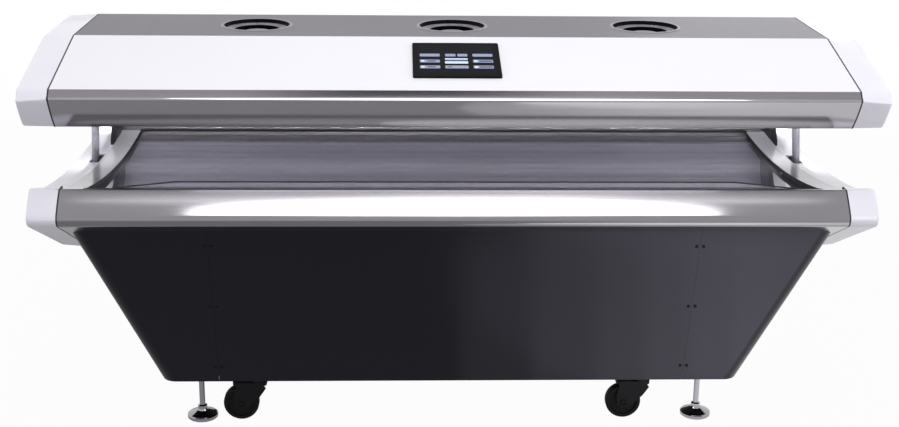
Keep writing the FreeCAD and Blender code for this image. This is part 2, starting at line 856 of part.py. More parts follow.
# Levelling feet: stems threaded through the frame rails
pad_radius = size["foot_pad_radius"]
stem = size["foot_stem_radius"]
for rear in (0, 1):
    for right in (0, 1):
        end_name = "rear" if rear else "front"
        side_name = "right" if right else "left"
        foot = add_body(f"levelling_foot_{end_name}_{side_name}")
        revolve(foot, [
            (0, 0), (pad_radius - 2, 0), (pad_radius, 2), (pad_radius, 10), (pad_radius - 3, 12.5),
            (stem + 8, 23), (stem + 5, 27), (stem + 5, 36), (stem, 39), (stem, frame_floor + 12),
            (0, frame_floor + 12),
        ])
        move(foot, foot_x * (right * 2 - 1), frame_y * (rear * 2 - 1), 0)
        nodes.append(foot)

# Swivel casters: fixed plate with king pin, fork with axle, wheel
caster_x = size["caster_spacing"] / 2
caster_y = skirt_foot - size["caster_inset"]
wheel_radius = size["wheel_radius"]
axle_height = wheel_radius + size["floor_gap"]
axle_radius = 6
axle_x = -size["caster_trail"]
crown_floor = axle_height + wheel_radius + 6
crown_roof = crown_floor + 10
king_radius = 7
leg_inner = size["wheel_width"] / 2 + 2
leg_thickness = 4
crown_outline = []
for x, y, *radius in rounded(48, leg_inner + leg_thickness, 12):
    crown_outline.append((x + axle_x / 2, y, *radius))
plates = []
for rear in (0, 1):
    for right in (0, 1):
        end_name = "rear" if rear else "front"
        side_name = "right" if right else "left"
        spot = (caster_x * (right * 2 - 1), caster_y * (rear * 2 - 1))
        plate = add_body("caster_plate")
        pad(plate, "XY_Plane", [rectangle(-52, -29, 52, 29)], frame_floor - 2, 4)
        boss_floor = crown_roof + size["running_gap"]
        boss_height = frame_floor - 4 - boss_floor
        pad(plate, "XY_Plane", [((0, 0), 24)], boss_floor + boss_height / 2, boss_height)
        king_height = boss_floor - crown_floor + size["running_gap"]
        pad(plate, "XY_Plane", [((0, 0), king_radius)], boss_floor - king_height / 2, king_height)
        king_foot = crown_floor - size["running_gap"]
        pad(plate, "XY_Plane", [((0, 0), king_radius + 5)], king_foot - 3, 6)
        move(plate, spot[0], spot[1], 0)
        plates.append(plate)
        fork = add_body(f"caster_fork_{end_name}_{side_name}")
        pad(fork, "XY_Plane", [crown_outline], crown_floor + 5, 10)
        for cheek in (-1, 1):
            leg_middle = (leg_inner + leg_thickness / 2) * cheek
            pad(fork, "XZ_Plane", [[
                (10, crown_roof - 2), (20, axle_height + 48), (3, axle_height + 23),
                (axle_x + 18, axle_height - 13), (axle_x - 4, axle_height - 18), (axle_x - 18, axle_height - 7),
                (axle_x - 21, axle_height + 23), (axle_x - 10, crown_roof - 2),
            ]], leg_middle, leg_thickness)
        cut(fork, "XY_Plane", [((0, 0), king_radius + size["pivot_gap"])], crown_floor + 5, 30)
        axle_length = (leg_inner + leg_thickness) * 2 + 4
        pad(fork, "XZ_Plane", [((axle_x, axle_height), axle_radius)], 0, axle_length)
        move(fork, spot[0], spot[1], 0)
        wheel = prism(f"caster_wheel_{end_name}_{side_name}", "XZ_Plane", [
            ((axle_x, axle_height), wheel_radius),
            ((axle_x, axle_height), axle_radius + size["pivot_gap"]),
        ], 0, size["wheel_width"])
        for face in (-1, 1):
            cut(wheel, "XZ_Plane", [
                ((axle_x, axle_height), wheel_radius - 11), ((axle_x, axle_height), 17),
            ], size["wheel_width"] / 2 * face, 10)
        move(wheel, spot[0], spot[1], 0)
        nodes += [fork, wheel]
nodes.append(group("caster_plates", plates))

# Gas struts, drawn upright about their lower pivot and leaned into place
strut_rise = strut_head[1] - strut_foot[1]
strut_run = strut_head[0] - strut_foot[0]
strut_length = root(strut_rise * strut_rise + strut_run * strut_run)
tube_end = strut_length - 88
bore = size["strut_tube_radius"] - 1.5
rod_radius = size["strut_rod_radius"]
piston_floor = strut_length * 0.4
lean = f"atan({(strut_run / strut_rise).text})"


def lean_into_place(body):
    move(body, strut_x, strut_foot[0], strut_foot[1])
    body.Placement.Rotation = FreeCAD.Rotation(FreeCAD.Vector(-1, 0, 0), 17)
    body.setExpression("Placement.Rotation.Angle", lean)
    body.setExpression("Placement.Rotation.Axis.x", "-1")


tube = add_body("strut_tube_right")
revolve(tube, [
    (0, 15), (size["strut_tube_radius"], 18), (size["strut_tube_radius"], tube_end),
    (rod_radius + 0.1, tube_end), (rod_radius + 0.1, tube_end - 12), (bore, tube_end - 12),
    (bore, 24), (0, 24),
])
pad(tube, "YZ_Plane", [((0, 0), 11), ((0, 0), 5.05)], 0, 12)
pad(tube, "YZ_Plane", [rectangle(-6, 9.5, 6, 17)], 0, 10)
lean_into_place(tube)
rod = add_body("strut_rod_right")
revolve(rod, [
    (0, piston_floor), (bore - 0.1, piston_floor), (bore - 0.1, piston_floor + 16),
    (rod_radius, piston_floor + 16), (rod_radius, strut_length - 10), (0, strut_length - 10),
])
pad(rod, "YZ_Plane", [((0, strut_length), 12)], 0, 12)
pivot_reach = 18
pad(rod, "YZ_Plane", [((0, strut_length), 4)], -6 - pivot_reach / 2, pivot_reach)
lean_into_place(rod)
for piece, name in ((tube, "strut_tube_left"), (rod, "strut_rod_left")):
    nodes += [piece, mirror(name, piece, ALONG_X)]

# Canopy rails: the front and rear bullnose extrusions
heel = nose - size["canopy_tuck"]
lip = arch_half - 18
canopy_wall = arch_half
canopy_rail = prism("canopy_front_rail", "YZ_Plane", [
    [
        (-foot_y, panel_foot_height),
        (-nose, canopy_nose, rail_bulge),
        (-heel, canopy_bottom),
        (-lip, canopy_bottom),
        (-lip, arch(lip, rail_wall)),
        (-canopy_wall, arch(canopy_wall, rail_wall)),
        (-canopy_wall, roof(canopy_wall, panel_drop)),
        (-foot_y, roof(foot_y, panel_drop)),
    ],
    [
        (-foot_y + 2, roof(foot_y, panel_drop) - rail_wall),
        (-nose + 8, canopy_nose - 1),
        (-heel + 1, canopy_bottom + rail_wall),
        (-canopy_wall - rail_wall, canopy_bottom + rail_wall),
        (-canopy_wall - rail_wall, roof(canopy_wall, panel_drop) - rail_wall * 1.4),
    ],
], 0, size["rail_length"])
round_edges(canopy_rail, 8, [(-nose, canopy_nose)])
round_edges(canopy_rail, 6, [(-heel, canopy_bottom)])
nodes += [canopy_rail, mirror("canopy_rear_rail", canopy_rail, ALONG_Y)]

# Canopy skins
vent_radius = size["vent_radius"]
vent_seat = vent_radius + 1
roof_panel = prism("canopy_top_panel", "XY_Plane", [
    rectangle(-half_length, -top_half, half_length, top_half),
    ((-size["fan_pitch"], 0), vent_seat),
    ((0, 0), vent_seat),
    ((size["fan_pitch"], 0), vent_seat),
], canopy_top - size["panel_sheet"] / 2, size["panel_sheet"])
nodes.append(roof_panel)
screen_y = -nose + size["screen_setback"]
screen_run = size["screen_length"] * 0.97
screen_port = size["screen_width"] * 0.42
slope_outline = [
    (-foot_y, panel_foot_height),
    (-foot_y, roof(foot_y, panel_drop)),
    (-top_half, canopy_top - panel_drop),
    (-top_half, canopy_top),
]
front_panel = prism("canopy_front_panel", "YZ_Plane", [slope_outline], 0, size["rail_length"])
rear_panel = prism("canopy_rear_panel", "YZ_Plane", [
    [(-y, z) for y, z in reversed(slope_outline)],
], 0, size["rail_length"])
cut(front_panel, "XY_Plane", [
    rectangle(-screen_port, screen_y + 16, screen_port, screen_y + screen_run - 16),
], canopy_top, size["bed_depth"] * 0.4)
nodes += [front_panel, rear_panel]

# Touch screen on the front slope: frame, glass and the control unit behind it
screen_half = size["screen_width"] / 2
screen_rise = 5
glass_rise = 2


def lay_on_slope(body):
    move(body, 0, screen_y, roof(-screen_y, 0))
    body.Placement.Rotation = FreeCAD.Rotation(FreeCAD.Vector(1, 0, 0), 13)
    body.setExpression("Placement.Rotation.Angle", f"atan({panel_slope.text})")


screen_middle = size["screen_length"] / 2
bezel_outline = []
for x, y, *radius in rounded(screen_half, screen_middle, 6):
    bezel_outline.append((x, y + screen_middle, *radius))
bezel = prism("screen_frame", "XY_Plane", [bezel_outline], screen_rise / 2, screen_rise)
glass_margin = 14
glass_outline = rectangle(-screen_half + glass_margin, glass_margin,
                          screen_half - glass_margin, size["screen_length"] - glass_margin)
cut(bezel, "XY_Plane", [glass_outline], screen_rise, glass_rise * 2)
glass = prism("screen_glass", "XY_Plane", [glass_outline], screen_rise - glass_rise / 2, glass_rise)
unit_depth = 30
control = prism("control_unit", "XY_Plane", [
    rectangle(-size["screen_width"] * 0.4, 24, size["screen_width"] * 0.4, size["screen_length"] - 26),
], -unit_depth / 2, unit_depth)
for body in (bezel, glass, control):
    lay_on_slope(body)
nodes += [bezel, glass, control]

# Canopy window, lamp tray, boards and ribs
window_lift = rail_wall
window_top = window_lift + 6
nodes.append(prism("canopy_window", "YZ_Plane", [[
    (-canopy_wall, arch(canopy_wall, window_lift), -arch_radius - window_lift),
    (canopy_wall, arch(canopy_wall, window_lift)),
    (canopy_wall, arch(canopy_wall, window_top), arch_radius + window_top),
    (-canopy_wall, arch(canopy_wall, window_top)),
]], 0, tray_length))
lamp_ceiling = canopy_top - size["lamp_headroom"]
lamp_spring = canopy_bottom + size["lamp_spring_rise"]
lamp_half = belly + size["lamp_shoulder"]


def ceiling(distance):
    return lamp_ceiling - (distance - lamp_half) * (lamp_ceiling - lamp_spring) / (canopy_wall - lamp_half)


nodes.append(prism("canopy_lamp_tray", "YZ_Plane", [[
    (-canopy_wall, lamp_spring),
    (-lamp_half, lamp_ceiling),
    (lamp_half, lamp_ceiling),
    (canopy_wall, lamp_spring),
    (canopy_wall, lamp_spring + sheet),
    (lamp_half, lamp_ceiling + sheet),
    (-lamp_half, lamp_ceiling + sheet),
    (-canopy_wall, lamp_spring + sheet),
]], 0, tray_length))
side_board = prism("canopy_board_front", "YZ_Plane", [[
    (-canopy_wall + 20, ceiling(canopy_wall - 20)),
    (-canopy_wall + 20, ceiling(canopy_wall - 20) - board_rise),
    (-lamp_half - 10, ceiling(lamp_half + 10) - board_rise),
    (-lamp_half - 10, ceiling(lamp_half + 10)),
]], 0, board_length)
nodes.append(group("canopy_lamp_boards", [
    side_board,
    mirror("canopy_board_rear", side_board, ALONG_Y),
    prism("canopy_board_middle", "YZ_Plane", [
        rectangle(-lamp_half + 12, lamp_ceiling - board_rise, lamp_half - 12, lamp_ceiling),
    ], 0, board_length),
]))
ribs = []
for place in (-0.8, -0.27, 0.27, 0.8):
    ribs.append(prism("canopy_rib", "YZ_Plane", [[
        (-canopy_wall, lamp_spring + sheet),
        (-lamp_half, lamp_ceiling + sheet),
        (lamp_half, lamp_ceiling + sheet),
        (canopy_wall, lamp_spring + sheet),
        (canopy_wall, roof(canopy_wall, panel_drop)),
        (top_half, canopy_top - panel_drop),
        (-top_half, canopy_top - panel_drop),
        (-canopy_wall, roof(canopy_wall, panel_drop)),
    ]], half_length * place, 4))
nodes.append(group("canopy_ribs", ribs))

# Canopy end plates with the hinge arm and the slotted strut bracket
canopy_end = prism("canopy_end_frame", "YZ_Plane", [[
    (-canopy_wall, arch(canopy_wall, window_lift), -arch_radius - window_lift),
    (canopy_wall, arch(canopy_wall, window_lift)),
    (canopy_wall, roof(canopy_wall, panel_drop)),
    (top_half, canopy_top - panel_drop),
    (-top_half, canopy_top - panel_drop),
    (-canopy_wall, roof(canopy_wall, panel_drop)),
]], plate_middle, size["end_plate"])
arm_middle = half_length + arm_thickness / 2
arm_front = canopy_wall - 60


def arm_outline(grow):
    return [
        (hinge[0] - hinge_head - grow, hinge[1]),
        (hinge[0] + hinge_head - 8 + grow, hinge[1]),
        (hinge[0] + hinge_head - 8 + grow, roof(hinge[0], 50) + grow),
        (arm_front - grow, roof(arm_front, 50) + grow),
        (arm_front - grow, canopy_bottom + 30),
    ]


pad(canopy_end, "YZ_Plane", [arm_outline(0)], arm_middle, arm_thickness)
pad(canopy_end, "YZ_Plane", [(hinge, hinge_head)], arm_middle, arm_thickness)
cut(canopy_end, "YZ_Plane", [(hinge, size["hinge_pin_radius"] + size["pivot_gap"])], arm_middle, 40)
bracket_reach = size["strut_offset"] - 12
pad(canopy_end, "YZ_Plane", [(strut_head, 20)], half_length + bracket_reach / 2, bracket_reach)
cut(canopy_end, "YZ_Plane", [(strut_head, 12.5)], half_length + bracket_reach, (bracket_reach - 1) * 2)
nodes.append(group("canopy_end_frames", [canopy_end, mirror("canopy_end_frame_left", canopy_end, ALONG_X)]))


def cut_arm_notch(body):
    cut(body, "YZ_Plane", [arm_outline(1)], half_length, (arm_thickness + 1) * 2)


canopy_cap = end_cap("canopy_right_cap", canopy_section)
cut_arm_notch(canopy_cap)
cut(canopy_cap, "XY_Plane", [
    rectangle(strut_x - strut_clear, strut_head[0] - 42, strut_x + strut_clear, strut_head[0] + 36),
], canopy_bottom, 120)
canopy_seal = end_seal("canopy_seal", canopy_section)
cut_arm_notch(canopy_seal)
nodes += [canopy_cap, mirror("canopy_left_cap", canopy_cap, ALONG_X)]
nodes.append(group("canopy_end_seals", [canopy_seal, mirror("canopy_seal_left", canopy_seal, ALONG_X)]))

# Roof fans: recessed vent ring, fan frame with its shaft, and the bladed rotor
throat = size["throat_radius"]
vent_floor = canopy_top - size["vent_depth"]
frame_top = vent_floor - 8
frame_bottom = frame_top - size["fan_height"]
fan_frame_half = throat + 3
hub = size["hub_radius"]
blade_tip = throat - 6.5
hub_floor = frame_bottom + 7
hub_top = frame_top - 1
blade_count = 7
vents = []
fan_frames = []
for name, place in (("left", -1), ("middle", 0), ("right", 1)):
    spot = size["fan_pitch"] * place
    vent = add_body("vent_ring")
    revolve(vent, [
        (vent_radius + 6, canopy_top), (vent_radius + 5, canopy_top + 1.5),
        (vent_radius - 3, canopy_top + 1.5), (vent_radius - 7, vent_floor),
        (throat + 2, vent_floor - 2), (throat, frame_top),
        (throat + 4, frame_top), (throat + 5, vent_floor - 5), (vent_radius - 4, vent_floor - 3),
        (vent_radius, canopy_top),
    ])
    move(vent, spot, 0, 0)
    vents.append(vent)
    fan_frame = prism("fan_frame", "XY_Plane", [
        rectangle(-fan_frame_half, -fan_frame_half, fan_frame_half, fan_frame_half),
        ((0, 0), throat - 2),
    ], (frame_top + frame_bottom) / 2, frame_top - frame_bottom)
    pad(fan_frame, "XY_Plane", [rectangle(-throat, -4, throat, 4)], frame_bottom + 2, 4)
    pad(fan_frame, "XY_Plane", [rectangle(-4, -throat, 4, throat)], frame_bottom + 2, 4)
    pad(fan_frame, "XY_Plane", [((0, 0), 26)], frame_bottom + 3, 6)
    pad(fan_frame, "XY_Plane", [((0, 0), 3)], frame_bottom + 9, 18)
    move(fan_frame, spot, 0, 0)
    fan_frames.append(fan_frame)
    rotor = add_body(f"fan_rotor_{name}")
    pad(rotor, "XY_Plane", [((0, 0), hub)], (hub_floor + hub_top) / 2, hub_top - hub_floor)
    blade_length = blade_tip - hub + 3
    blade = pad(rotor, "YZ_Plane", [[
        (-17, hub_floor + 1), (-13, hub_floor + 1), (17, hub_top - 2), (13, hub_top - 2),
    ]], hub - 3 + blade_length / 2, blade_length)
    ring = rotor.newObject("PartDesign::PolarPattern", "Blades")
    ring.Originals = [blade]
    ring.Axis = (origin_feature(rotor, "Z_Axis"), [""])
    ring.Angle = 360
    ring.Occurrences = blade_count
    rotor.Tip = ring
    cut(rotor, "XY_Plane", [((0, 0), 3 + size["pivot_gap"])], frame_bottom + 9, 22)
    move(rotor, spot, 0, 0)
    nodes.append(rotor)
nodes.append(group("vent_rings", vents))
nodes.append(group("fan_frames", fan_frames))

# Every piece must have built soundly before it is written
doc.recompute()
for feature in doc.Objects:
    if "Invalid" in feature.State or "Error" in feature.State:
        raise RuntimeError(f"{feature.Label} did not build: {feature.State}")
os.makedirs("parts", exist_ok=True)
for node in nodes:
    if node.Shape.isNull() or not node.Shape.isValid() or not node.Shape.Solids:
        raise RuntimeError(f"{node.Label} has no sound solid")
    node.Shape.exportStep(f"parts/{node.Label}.step")
print(len(nodes), "pieces")
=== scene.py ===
import json
import math

import bpy
from mathutils import Matrix, Vector


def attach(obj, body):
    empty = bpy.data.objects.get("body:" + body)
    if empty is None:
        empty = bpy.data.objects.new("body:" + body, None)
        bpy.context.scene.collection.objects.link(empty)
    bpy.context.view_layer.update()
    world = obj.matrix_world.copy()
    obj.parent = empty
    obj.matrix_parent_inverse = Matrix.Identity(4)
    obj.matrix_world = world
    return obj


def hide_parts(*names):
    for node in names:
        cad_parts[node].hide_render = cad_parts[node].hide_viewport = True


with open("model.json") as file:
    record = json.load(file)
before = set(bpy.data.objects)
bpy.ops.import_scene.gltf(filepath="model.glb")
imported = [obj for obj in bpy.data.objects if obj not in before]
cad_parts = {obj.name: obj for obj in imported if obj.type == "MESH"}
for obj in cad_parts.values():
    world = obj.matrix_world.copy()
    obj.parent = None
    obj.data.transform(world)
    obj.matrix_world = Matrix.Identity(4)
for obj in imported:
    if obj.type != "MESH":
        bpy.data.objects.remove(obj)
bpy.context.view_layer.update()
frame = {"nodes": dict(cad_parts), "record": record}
nodes = frame["nodes"]
node_body = {node: body for body, group in frame["record"]["behaviour"]["bodies"].items() for node in group}

# Places that the pieces below share with the solids, in metres: rails, end caps and lying panel
RAIL_HALF = 1.0145
RAIL_TOP = 0.742
FLUTE_BACK = -0.47
CAP_END = 1.0995
LAND_FRONT = -0.443
LEDGE_FRONT = -0.413
LEDGE_REAR = 0.372
TROUGH_REAR = 0.402
TRIM_INNER = 0.9575

# Lamp tray of the base, lamp ceiling of the canopy, and the boards on both
TRAY_FLOOR = 0.586
TRAY_FRONT = -0.205
TRAY_REAR = 0.145
TRAY_FRONT_TOP = 0.688
TRAY_REAR_TOP = 0.648
LAMP_CEILING = 1.002
LAMP_SPRING = 0.948
LAMP_HALF = 0.227
CANOPY_WALL = 0.398
BOARD_RISE = 0.006
BOARD_HALF = 0.972

# Skirt of the pedestal
SKIRT_BOTTOM = 0.134
SKIRT_ROOF = 0.6215
SKIRT_FOOT = 0.290
SKIRT_HEAD = 0.425
SKIRT_SEAM = 0.651
SKIRT_LEAN = math.atan((SKIRT_HEAD - SKIRT_FOOT) / (SKIRT_ROOF - SKIRT_BOTTOM))

# Roof vents and the fans under them
FAN_PITCH = 0.545
HUB_TOP = 1.061
VENT_RADIUS = 0.094
VENT_FLOOR = 1.070
THROAT = 0.060

# Levelling feet and casters
FOOT_X = 0.709
FOOT_Y = 0.232
FRAME_FLOOR = 0.140
CASTER_X = 0.545
CASTER_Y = 0.242
CASTER_TRAIL = 0.051
AXLE_HEIGHT = 0.051
WHEEL_RADIUS = 0.050
FORK_HALF = 0.022

# Touch screen, which lies on the front slope of the canopy
SCREEN_Y = -0.418
SCREEN_Z = 1.02825
SCREEN_FACE = 0.005
SLOPE_RISE = 0.076
SLOPE_RUN = 0.318
SCREEN_LEAN = math.atan(SLOPE_RISE / SLOPE_RUN)

# Names and sides of the places that repeat
ENDS = (("front", -1), ("rear", 1))
SIDES = (("left", -1), ("right", 1))
FANS = (("left", -1), ("middle", 0), ("right", 1))
CORNERS = [(f"{end_name}_{side_name}", sign, back) for end_name, back in ENDS for side_name, sign in SIDES]

# Sizes of the patterns in the materials, in millimetres
PAINT_CLOUD_MM = 280
MOULD_FLOW_MM = 90
DRAWN_LENGTH_MM = 600
METAL_CLOUD_MM = 200
POLISH_HAZE_MM = 12
RUBBER_BLOOM_MM = 30
RUBBER_PEBBLE_MM = 2
WIPE_MARK_MM = 150
FINGER_SMEAR_MM = 20
PIXEL_ROW_MM = 12


# Materials

def linear(hex_colour):
    """Turns an sRGB hex colour to linear values with full cover."""
    channels = [int(hex_colour[i:i + 2], 16) / 255 for i in (1, 3, 5)]
    return [c / 12.92 if c <= 0.04045 else ((c + 0.055) / 1.055) ** 2.4 for c in channels] + [1.0]


def add_node(tree, kind, inputs=None, **settings):
    """Adds a node with its settings, its values and its links."""
    made = tree.nodes.new(kind)
    for key, value in settings.items():
        setattr(made, key, value)
    for key, value in (inputs or {}).items():
        if isinstance(value, bpy.types.NodeSocket):
            tree.links.new(value, made.inputs[key])
        else:
            made.inputs[key].default_value = value
    return made


def start_material(name):
    """An empty material and the place on the piece that its patterns read."""
    made = bpy.data.materials.new(name)
    made.use_nodes = True
    tree = made.node_tree
    tree.nodes.clear()
    place = add_node(tree, "ShaderNodeTexCoord").outputs["Object"]
    return made, tree, place


def powder_coat(name, pale, deep, rough, peel_mm, coat=0.0, peel_strength=0.12, shine=0.5,
                gleam="#FFFFFF", uneven=0.05):
    """Baked powder coat on sheet metal: even colour with faint clouds and a fine orange peel.
    The peel is drawn coarser than the real half millimetre, so that it shows."""
    made, tree, place = start_material(name)
    clouds = add_node(tree, "ShaderNodeTexNoise", {
        "Vector": place, "Scale": 1000 / PAINT_CLOUD_MM, "Detail": 3.0,
    })
    colour = add_node(tree, "ShaderNodeMix", {
        "Factor": clouds.outputs["Fac"], "A": linear(deep), "B": linear(pale),
    }, data_type="RGBA")
    peel = add_node(tree, "ShaderNodeTexNoise", {"Vector": place, "Scale": 1000 / peel_mm, "Detail": 2.0})
    gloss = add_node(tree, "ShaderNodeMapRange", {
        "Value": peel.outputs["Fac"], "To Min": rough - uneven, "To Max": rough + uneven,
    })
    bump = add_node(tree, "ShaderNodeBump", {
        "Height": peel.outputs["Fac"], "Strength": peel_strength, "Distance": 0.0004,
    })
    surface = add_node(tree, "ShaderNodeBsdfPrincipled", {
        "Base Color": colour.outputs["Result"], "Roughness": gloss.outputs["Result"],
        "Normal": bump.outputs["Normal"], "IOR": 1.5, "Specular IOR Level": shine,
        "Specular Tint": linear(gleam), "Coat Weight": coat, "Coat Roughness": 0.12,
    })
    add_node(tree, "ShaderNodeOutputMaterial", {"Surface": surface.outputs["BSDF"]})
    return made


def moulded_plastic(name, pale, deep, rough, grain_mm, shine=0.5):
    """Injection-moulded plastic: even colour, a fine mould grain and small flow clouds in the gloss.
    The grain is drawn coarser than the real tenths of a millimetre, so that it shows."""
    made, tree, place = start_material(name)
    flow = add_node(tree, "ShaderNodeTexNoise", {
        "Vector": place, "Scale": 1000 / MOULD_FLOW_MM, "Detail": 4.0,
    })
    colour = add_node(tree, "ShaderNodeMix", {
        "Factor": flow.outputs["Fac"], "A": linear(deep), "B": linear(pale),
    }, data_type="RGBA")
    gloss = add_node(tree, "ShaderNodeMapRange", {
        "Value": flow.outputs["Fac"], "To Min": rough - 0.06, "To Max": rough + 0.06,
    })
    grain = add_node(tree, "ShaderNodeTexVoronoi", {"Vector": place, "Scale": 1000 / grain_mm})
    bump = add_node(tree, "ShaderNodeBump", {
        "Height": grain.outputs["Distance"], "Strength": 0.1, "Distance": 0.0003,
    })
    surface = add_node(tree, "ShaderNodeBsdfPrincipled", {
        "Base Color": colour.outputs["Result"], "Roughness": gloss.outputs["Result"],
        "Normal": bump.outputs["Normal"], "IOR": 1.52, "Specular IOR Level": shine,
    })
    add_node(tree, "ShaderNodeOutputMaterial", {"Surface": surface.outputs["BSDF"]})
    return made


def drawn_metal(name, pale, deep, rough, line_mm, metallic, line_strength=0.06):
    """Drawn and satin-brushed aluminium: lines along the bed that spread the highlight across them.
    The lines are drawn coarser than the real tenths of a millimetre, so that they show."""
    made, tree, place = start_material(name)
    along = add_node(tree, "ShaderNodeMapping", {
        "Vector": place, "Scale": (1000 / DRAWN_LENGTH_MM, 1000 / line_mm, 1000 / line_mm),
    })
    lines = add_node(tree, "ShaderNodeTexNoise", {
        "Vector": along.outputs["Vector"], "Scale": 1.0, "Detail": 3.0, "Roughness": 0.6,
    })
    clouds = add_node(tree, "ShaderNodeTexNoise", {
        "Vector": place, "Scale": 1000 / METAL_CLOUD_MM, "Detail": 2.0,
    })
    tone = add_node(tree, "ShaderNodeMath", {
        0: lines.outputs["Fac"], 1: clouds.outputs["Fac"], 2: 0.2,
    }, operation="MULTIPLY_ADD")
    colour = add_node(tree, "ShaderNodeMix", {
        "Factor": tone.outputs["Value"], "A": linear(deep), "B": linear(pale),
    }, data_type="RGBA")
    gloss = add_node(tree, "ShaderNodeMapRange", {
        "Value": lines.outputs["Fac"], "To Min": rough - 0.05, "To Max": rough + 0.05,
    })
    bump = add_node(tree, "ShaderNodeBump", {
        "Height": lines.outputs["Fac"], "Strength": line_strength, "Distance": 0.0003,
    })
    surface = add_node(tree, "ShaderNodeBsdfPrincipled", {
        "Base Color": colour.outputs["Result"], "Metallic": metallic,
        "Roughness": gloss.outputs["Result"], "Normal": bump.outputs["Normal"],
    })
    add_node(tree, "ShaderNodeOutputMaterial", {"Surface": surface.outputs["BSDF"]})
    return made


def polished_chrome(name):
    """Bright chrome plate: near-mirror with faint polishing haze."""
    made, tree, place = start_material(name)
    haze = add_node(tree, "ShaderNodeTexNoise", {
        "Vector": place, "Scale": 1000 / POLISH_HAZE_MM, "Detail": 3.0,
    })
    gloss = add_node(tree, "ShaderNodeMapRange", {
        "Value": haze.outputs["Fac"], "To Min": 0.05, "To Max": 0.14,
    })
    bump = add_node(tree, "ShaderNodeBump", {
        "Height": haze.outputs["Fac"], "Strength": 0.03, "Distance": 0.0004,
    })
    surface = add_node(tree, "ShaderNodeBsdfPrincipled", {
        "Base Color": linear("#A2A2A8"), "Metallic": 1.0,
        "Roughness": gloss.outputs["Result"], "Normal": bump.outputs["Normal"],
    })
    add_node(tree, "ShaderNodeOutputMaterial", {"Surface": surface.outputs["BSDF"]})
    return made


def moulded_rubber(name, pale, deep, shine=0.5):
    """Black rubber: matt, with a dusty bloom and a pebbled skin."""
    made, tree, place = start_material(name)
    bloom = add_node(tree, "ShaderNodeTexNoise", {
        "Vector": place, "Scale": 1000 / RUBBER_BLOOM_MM, "Detail": 4.0,
    })
    colour = add_node(tree, "ShaderNodeMix", {
        "Factor": bloom.outputs["Fac"], "A": linear(deep), "B": linear(pale),
    }, data_type="RGBA")
    gloss = add_node(tree, "ShaderNodeMapRange", {
        "Value": bloom.outputs["Fac"], "To Min": 0.5, "To Max": 0.7,
    })
    pebbles = add_node(tree, "ShaderNodeTexNoise", {
        "Vector": place, "Scale": 1000 / RUBBER_PEBBLE_MM, "Detail": 1.0,
    })
    bump = add_node(tree, "ShaderNodeBump", {
        "Height": pebbles.outputs["Fac"], "Strength": 0.2, "Distance": 0.0003,
    })
    surface = add_node(tree, "ShaderNodeBsdfPrincipled", {
        "Base Color": colour.outputs["Result"], "Roughness": gloss.outputs["Result"],
        "Normal": bump.outputs["Normal"], "IOR": 1.52, "Specular IOR Level": shine,
    })
    add_node(tree, "ShaderNodeOutputMaterial", {"Surface": surface.outputs["BSDF"]})
    return made


def cast_acrylic(name, tint, clear_share):
    """Cast acrylic: polished, faintly grey and hazy, with wipe marks in its gloss. Lamps shine through it."""
    made, tree, place = start_material(name)
    wipes = add_node(tree, "ShaderNodeTexNoise", {
        "Vector": place, "Scale": 1000 / WIPE_MARK_MM, "Detail": 3.0,
    })
    gloss = add_node(tree, "ShaderNodeMapRange", {
        "Value": wipes.outputs["Fac"], "To Min": 0.01, "To Max": 0.05,
    })
    glass = add_node(tree, "ShaderNodeBsdfPrincipled", {
        "Base Color": linear(tint), "Roughness": gloss.outputs["Result"], "IOR": 1.49,
        "Transmission Weight": clear_share,
    })
    clear = add_node(tree, "ShaderNodeBsdfTransparent", {"Color": linear(tint)})
    path = add_node(tree, "ShaderNodeLightPath")
    surface = add_node(tree, "ShaderNodeMixShader", {
        0: path.outputs["Is Shadow Ray"], 1: glass.outputs["BSDF"], 2: clear.outputs["BSDF"],
    })
    add_node(tree, "ShaderNodeOutputMaterial", {"Surface": surface.outputs["Shader"]})
    return made


def screen_cover(name):
    """Cover glass over a dark display: black, glossy, with faint finger smears."""
    made, tree, place = start_material(name)
    smears = add_node(tree, "ShaderNodeTexNoise", {
        "Vector": place, "Scale": 1000 / FINGER_SMEAR_MM, "Detail": 4.0, "Distortion": 1.2,
    })
    gloss = add_node(tree, "ShaderNodeMapRange", {
        "Value": smears.outputs["Fac"], "To Min": 0.08, "To Max": 0.3,
    })
    colour = add_node(tree, "ShaderNodeMix", {
        "Factor": smears.outputs["Fac"], "A": linear("#08080B"), "B": linear("#121218"),
    }, data_type="RGBA")
    surface = add_node(tree, "ShaderNodeBsdfPrincipled", {
        "Base Color": colour.outputs["Result"], "Roughness": gloss.outputs["Result"], "IOR": 1.52,
        "Specular IOR Level": 0.02,
    })
    add_node(tree, "ShaderNodeOutputMaterial", {"Surface": surface.outputs["BSDF"]})
    return made


def lit_icon(name, pale, deep, strength):
    """A lit patch of the display: its light falls off a little from one pixel row to the next.
    The rows are drawn coarser than the real quarter of a millimetre, so that they show."""
    made, tree, place = start_material(name)
    rows = add_node(tree, "ShaderNodeTexWave", {
        "Vector": place, "Scale": 1000 / PIXEL_ROW_MM, "Distortion": 1.0,
    }, bands_direction="Y")
    colour = add_node(tree, "ShaderNodeMix", {
        "Factor": rows.outputs["Fac"], "A": linear(deep), "B": linear(pale),
    }, data_type="RGBA")
    surface = add_node(tree, "ShaderNodeBsdfPrincipled", {
        "Base Color": colour.outputs["Result"], "Roughness": 0.3,
        "Emission Color": colour.outputs["Result"], "Emission Strength": strength,
    })
    add_node(tree, "ShaderNodeOutputMaterial", {"Surface": surface.outputs["BSDF"]})
    return made


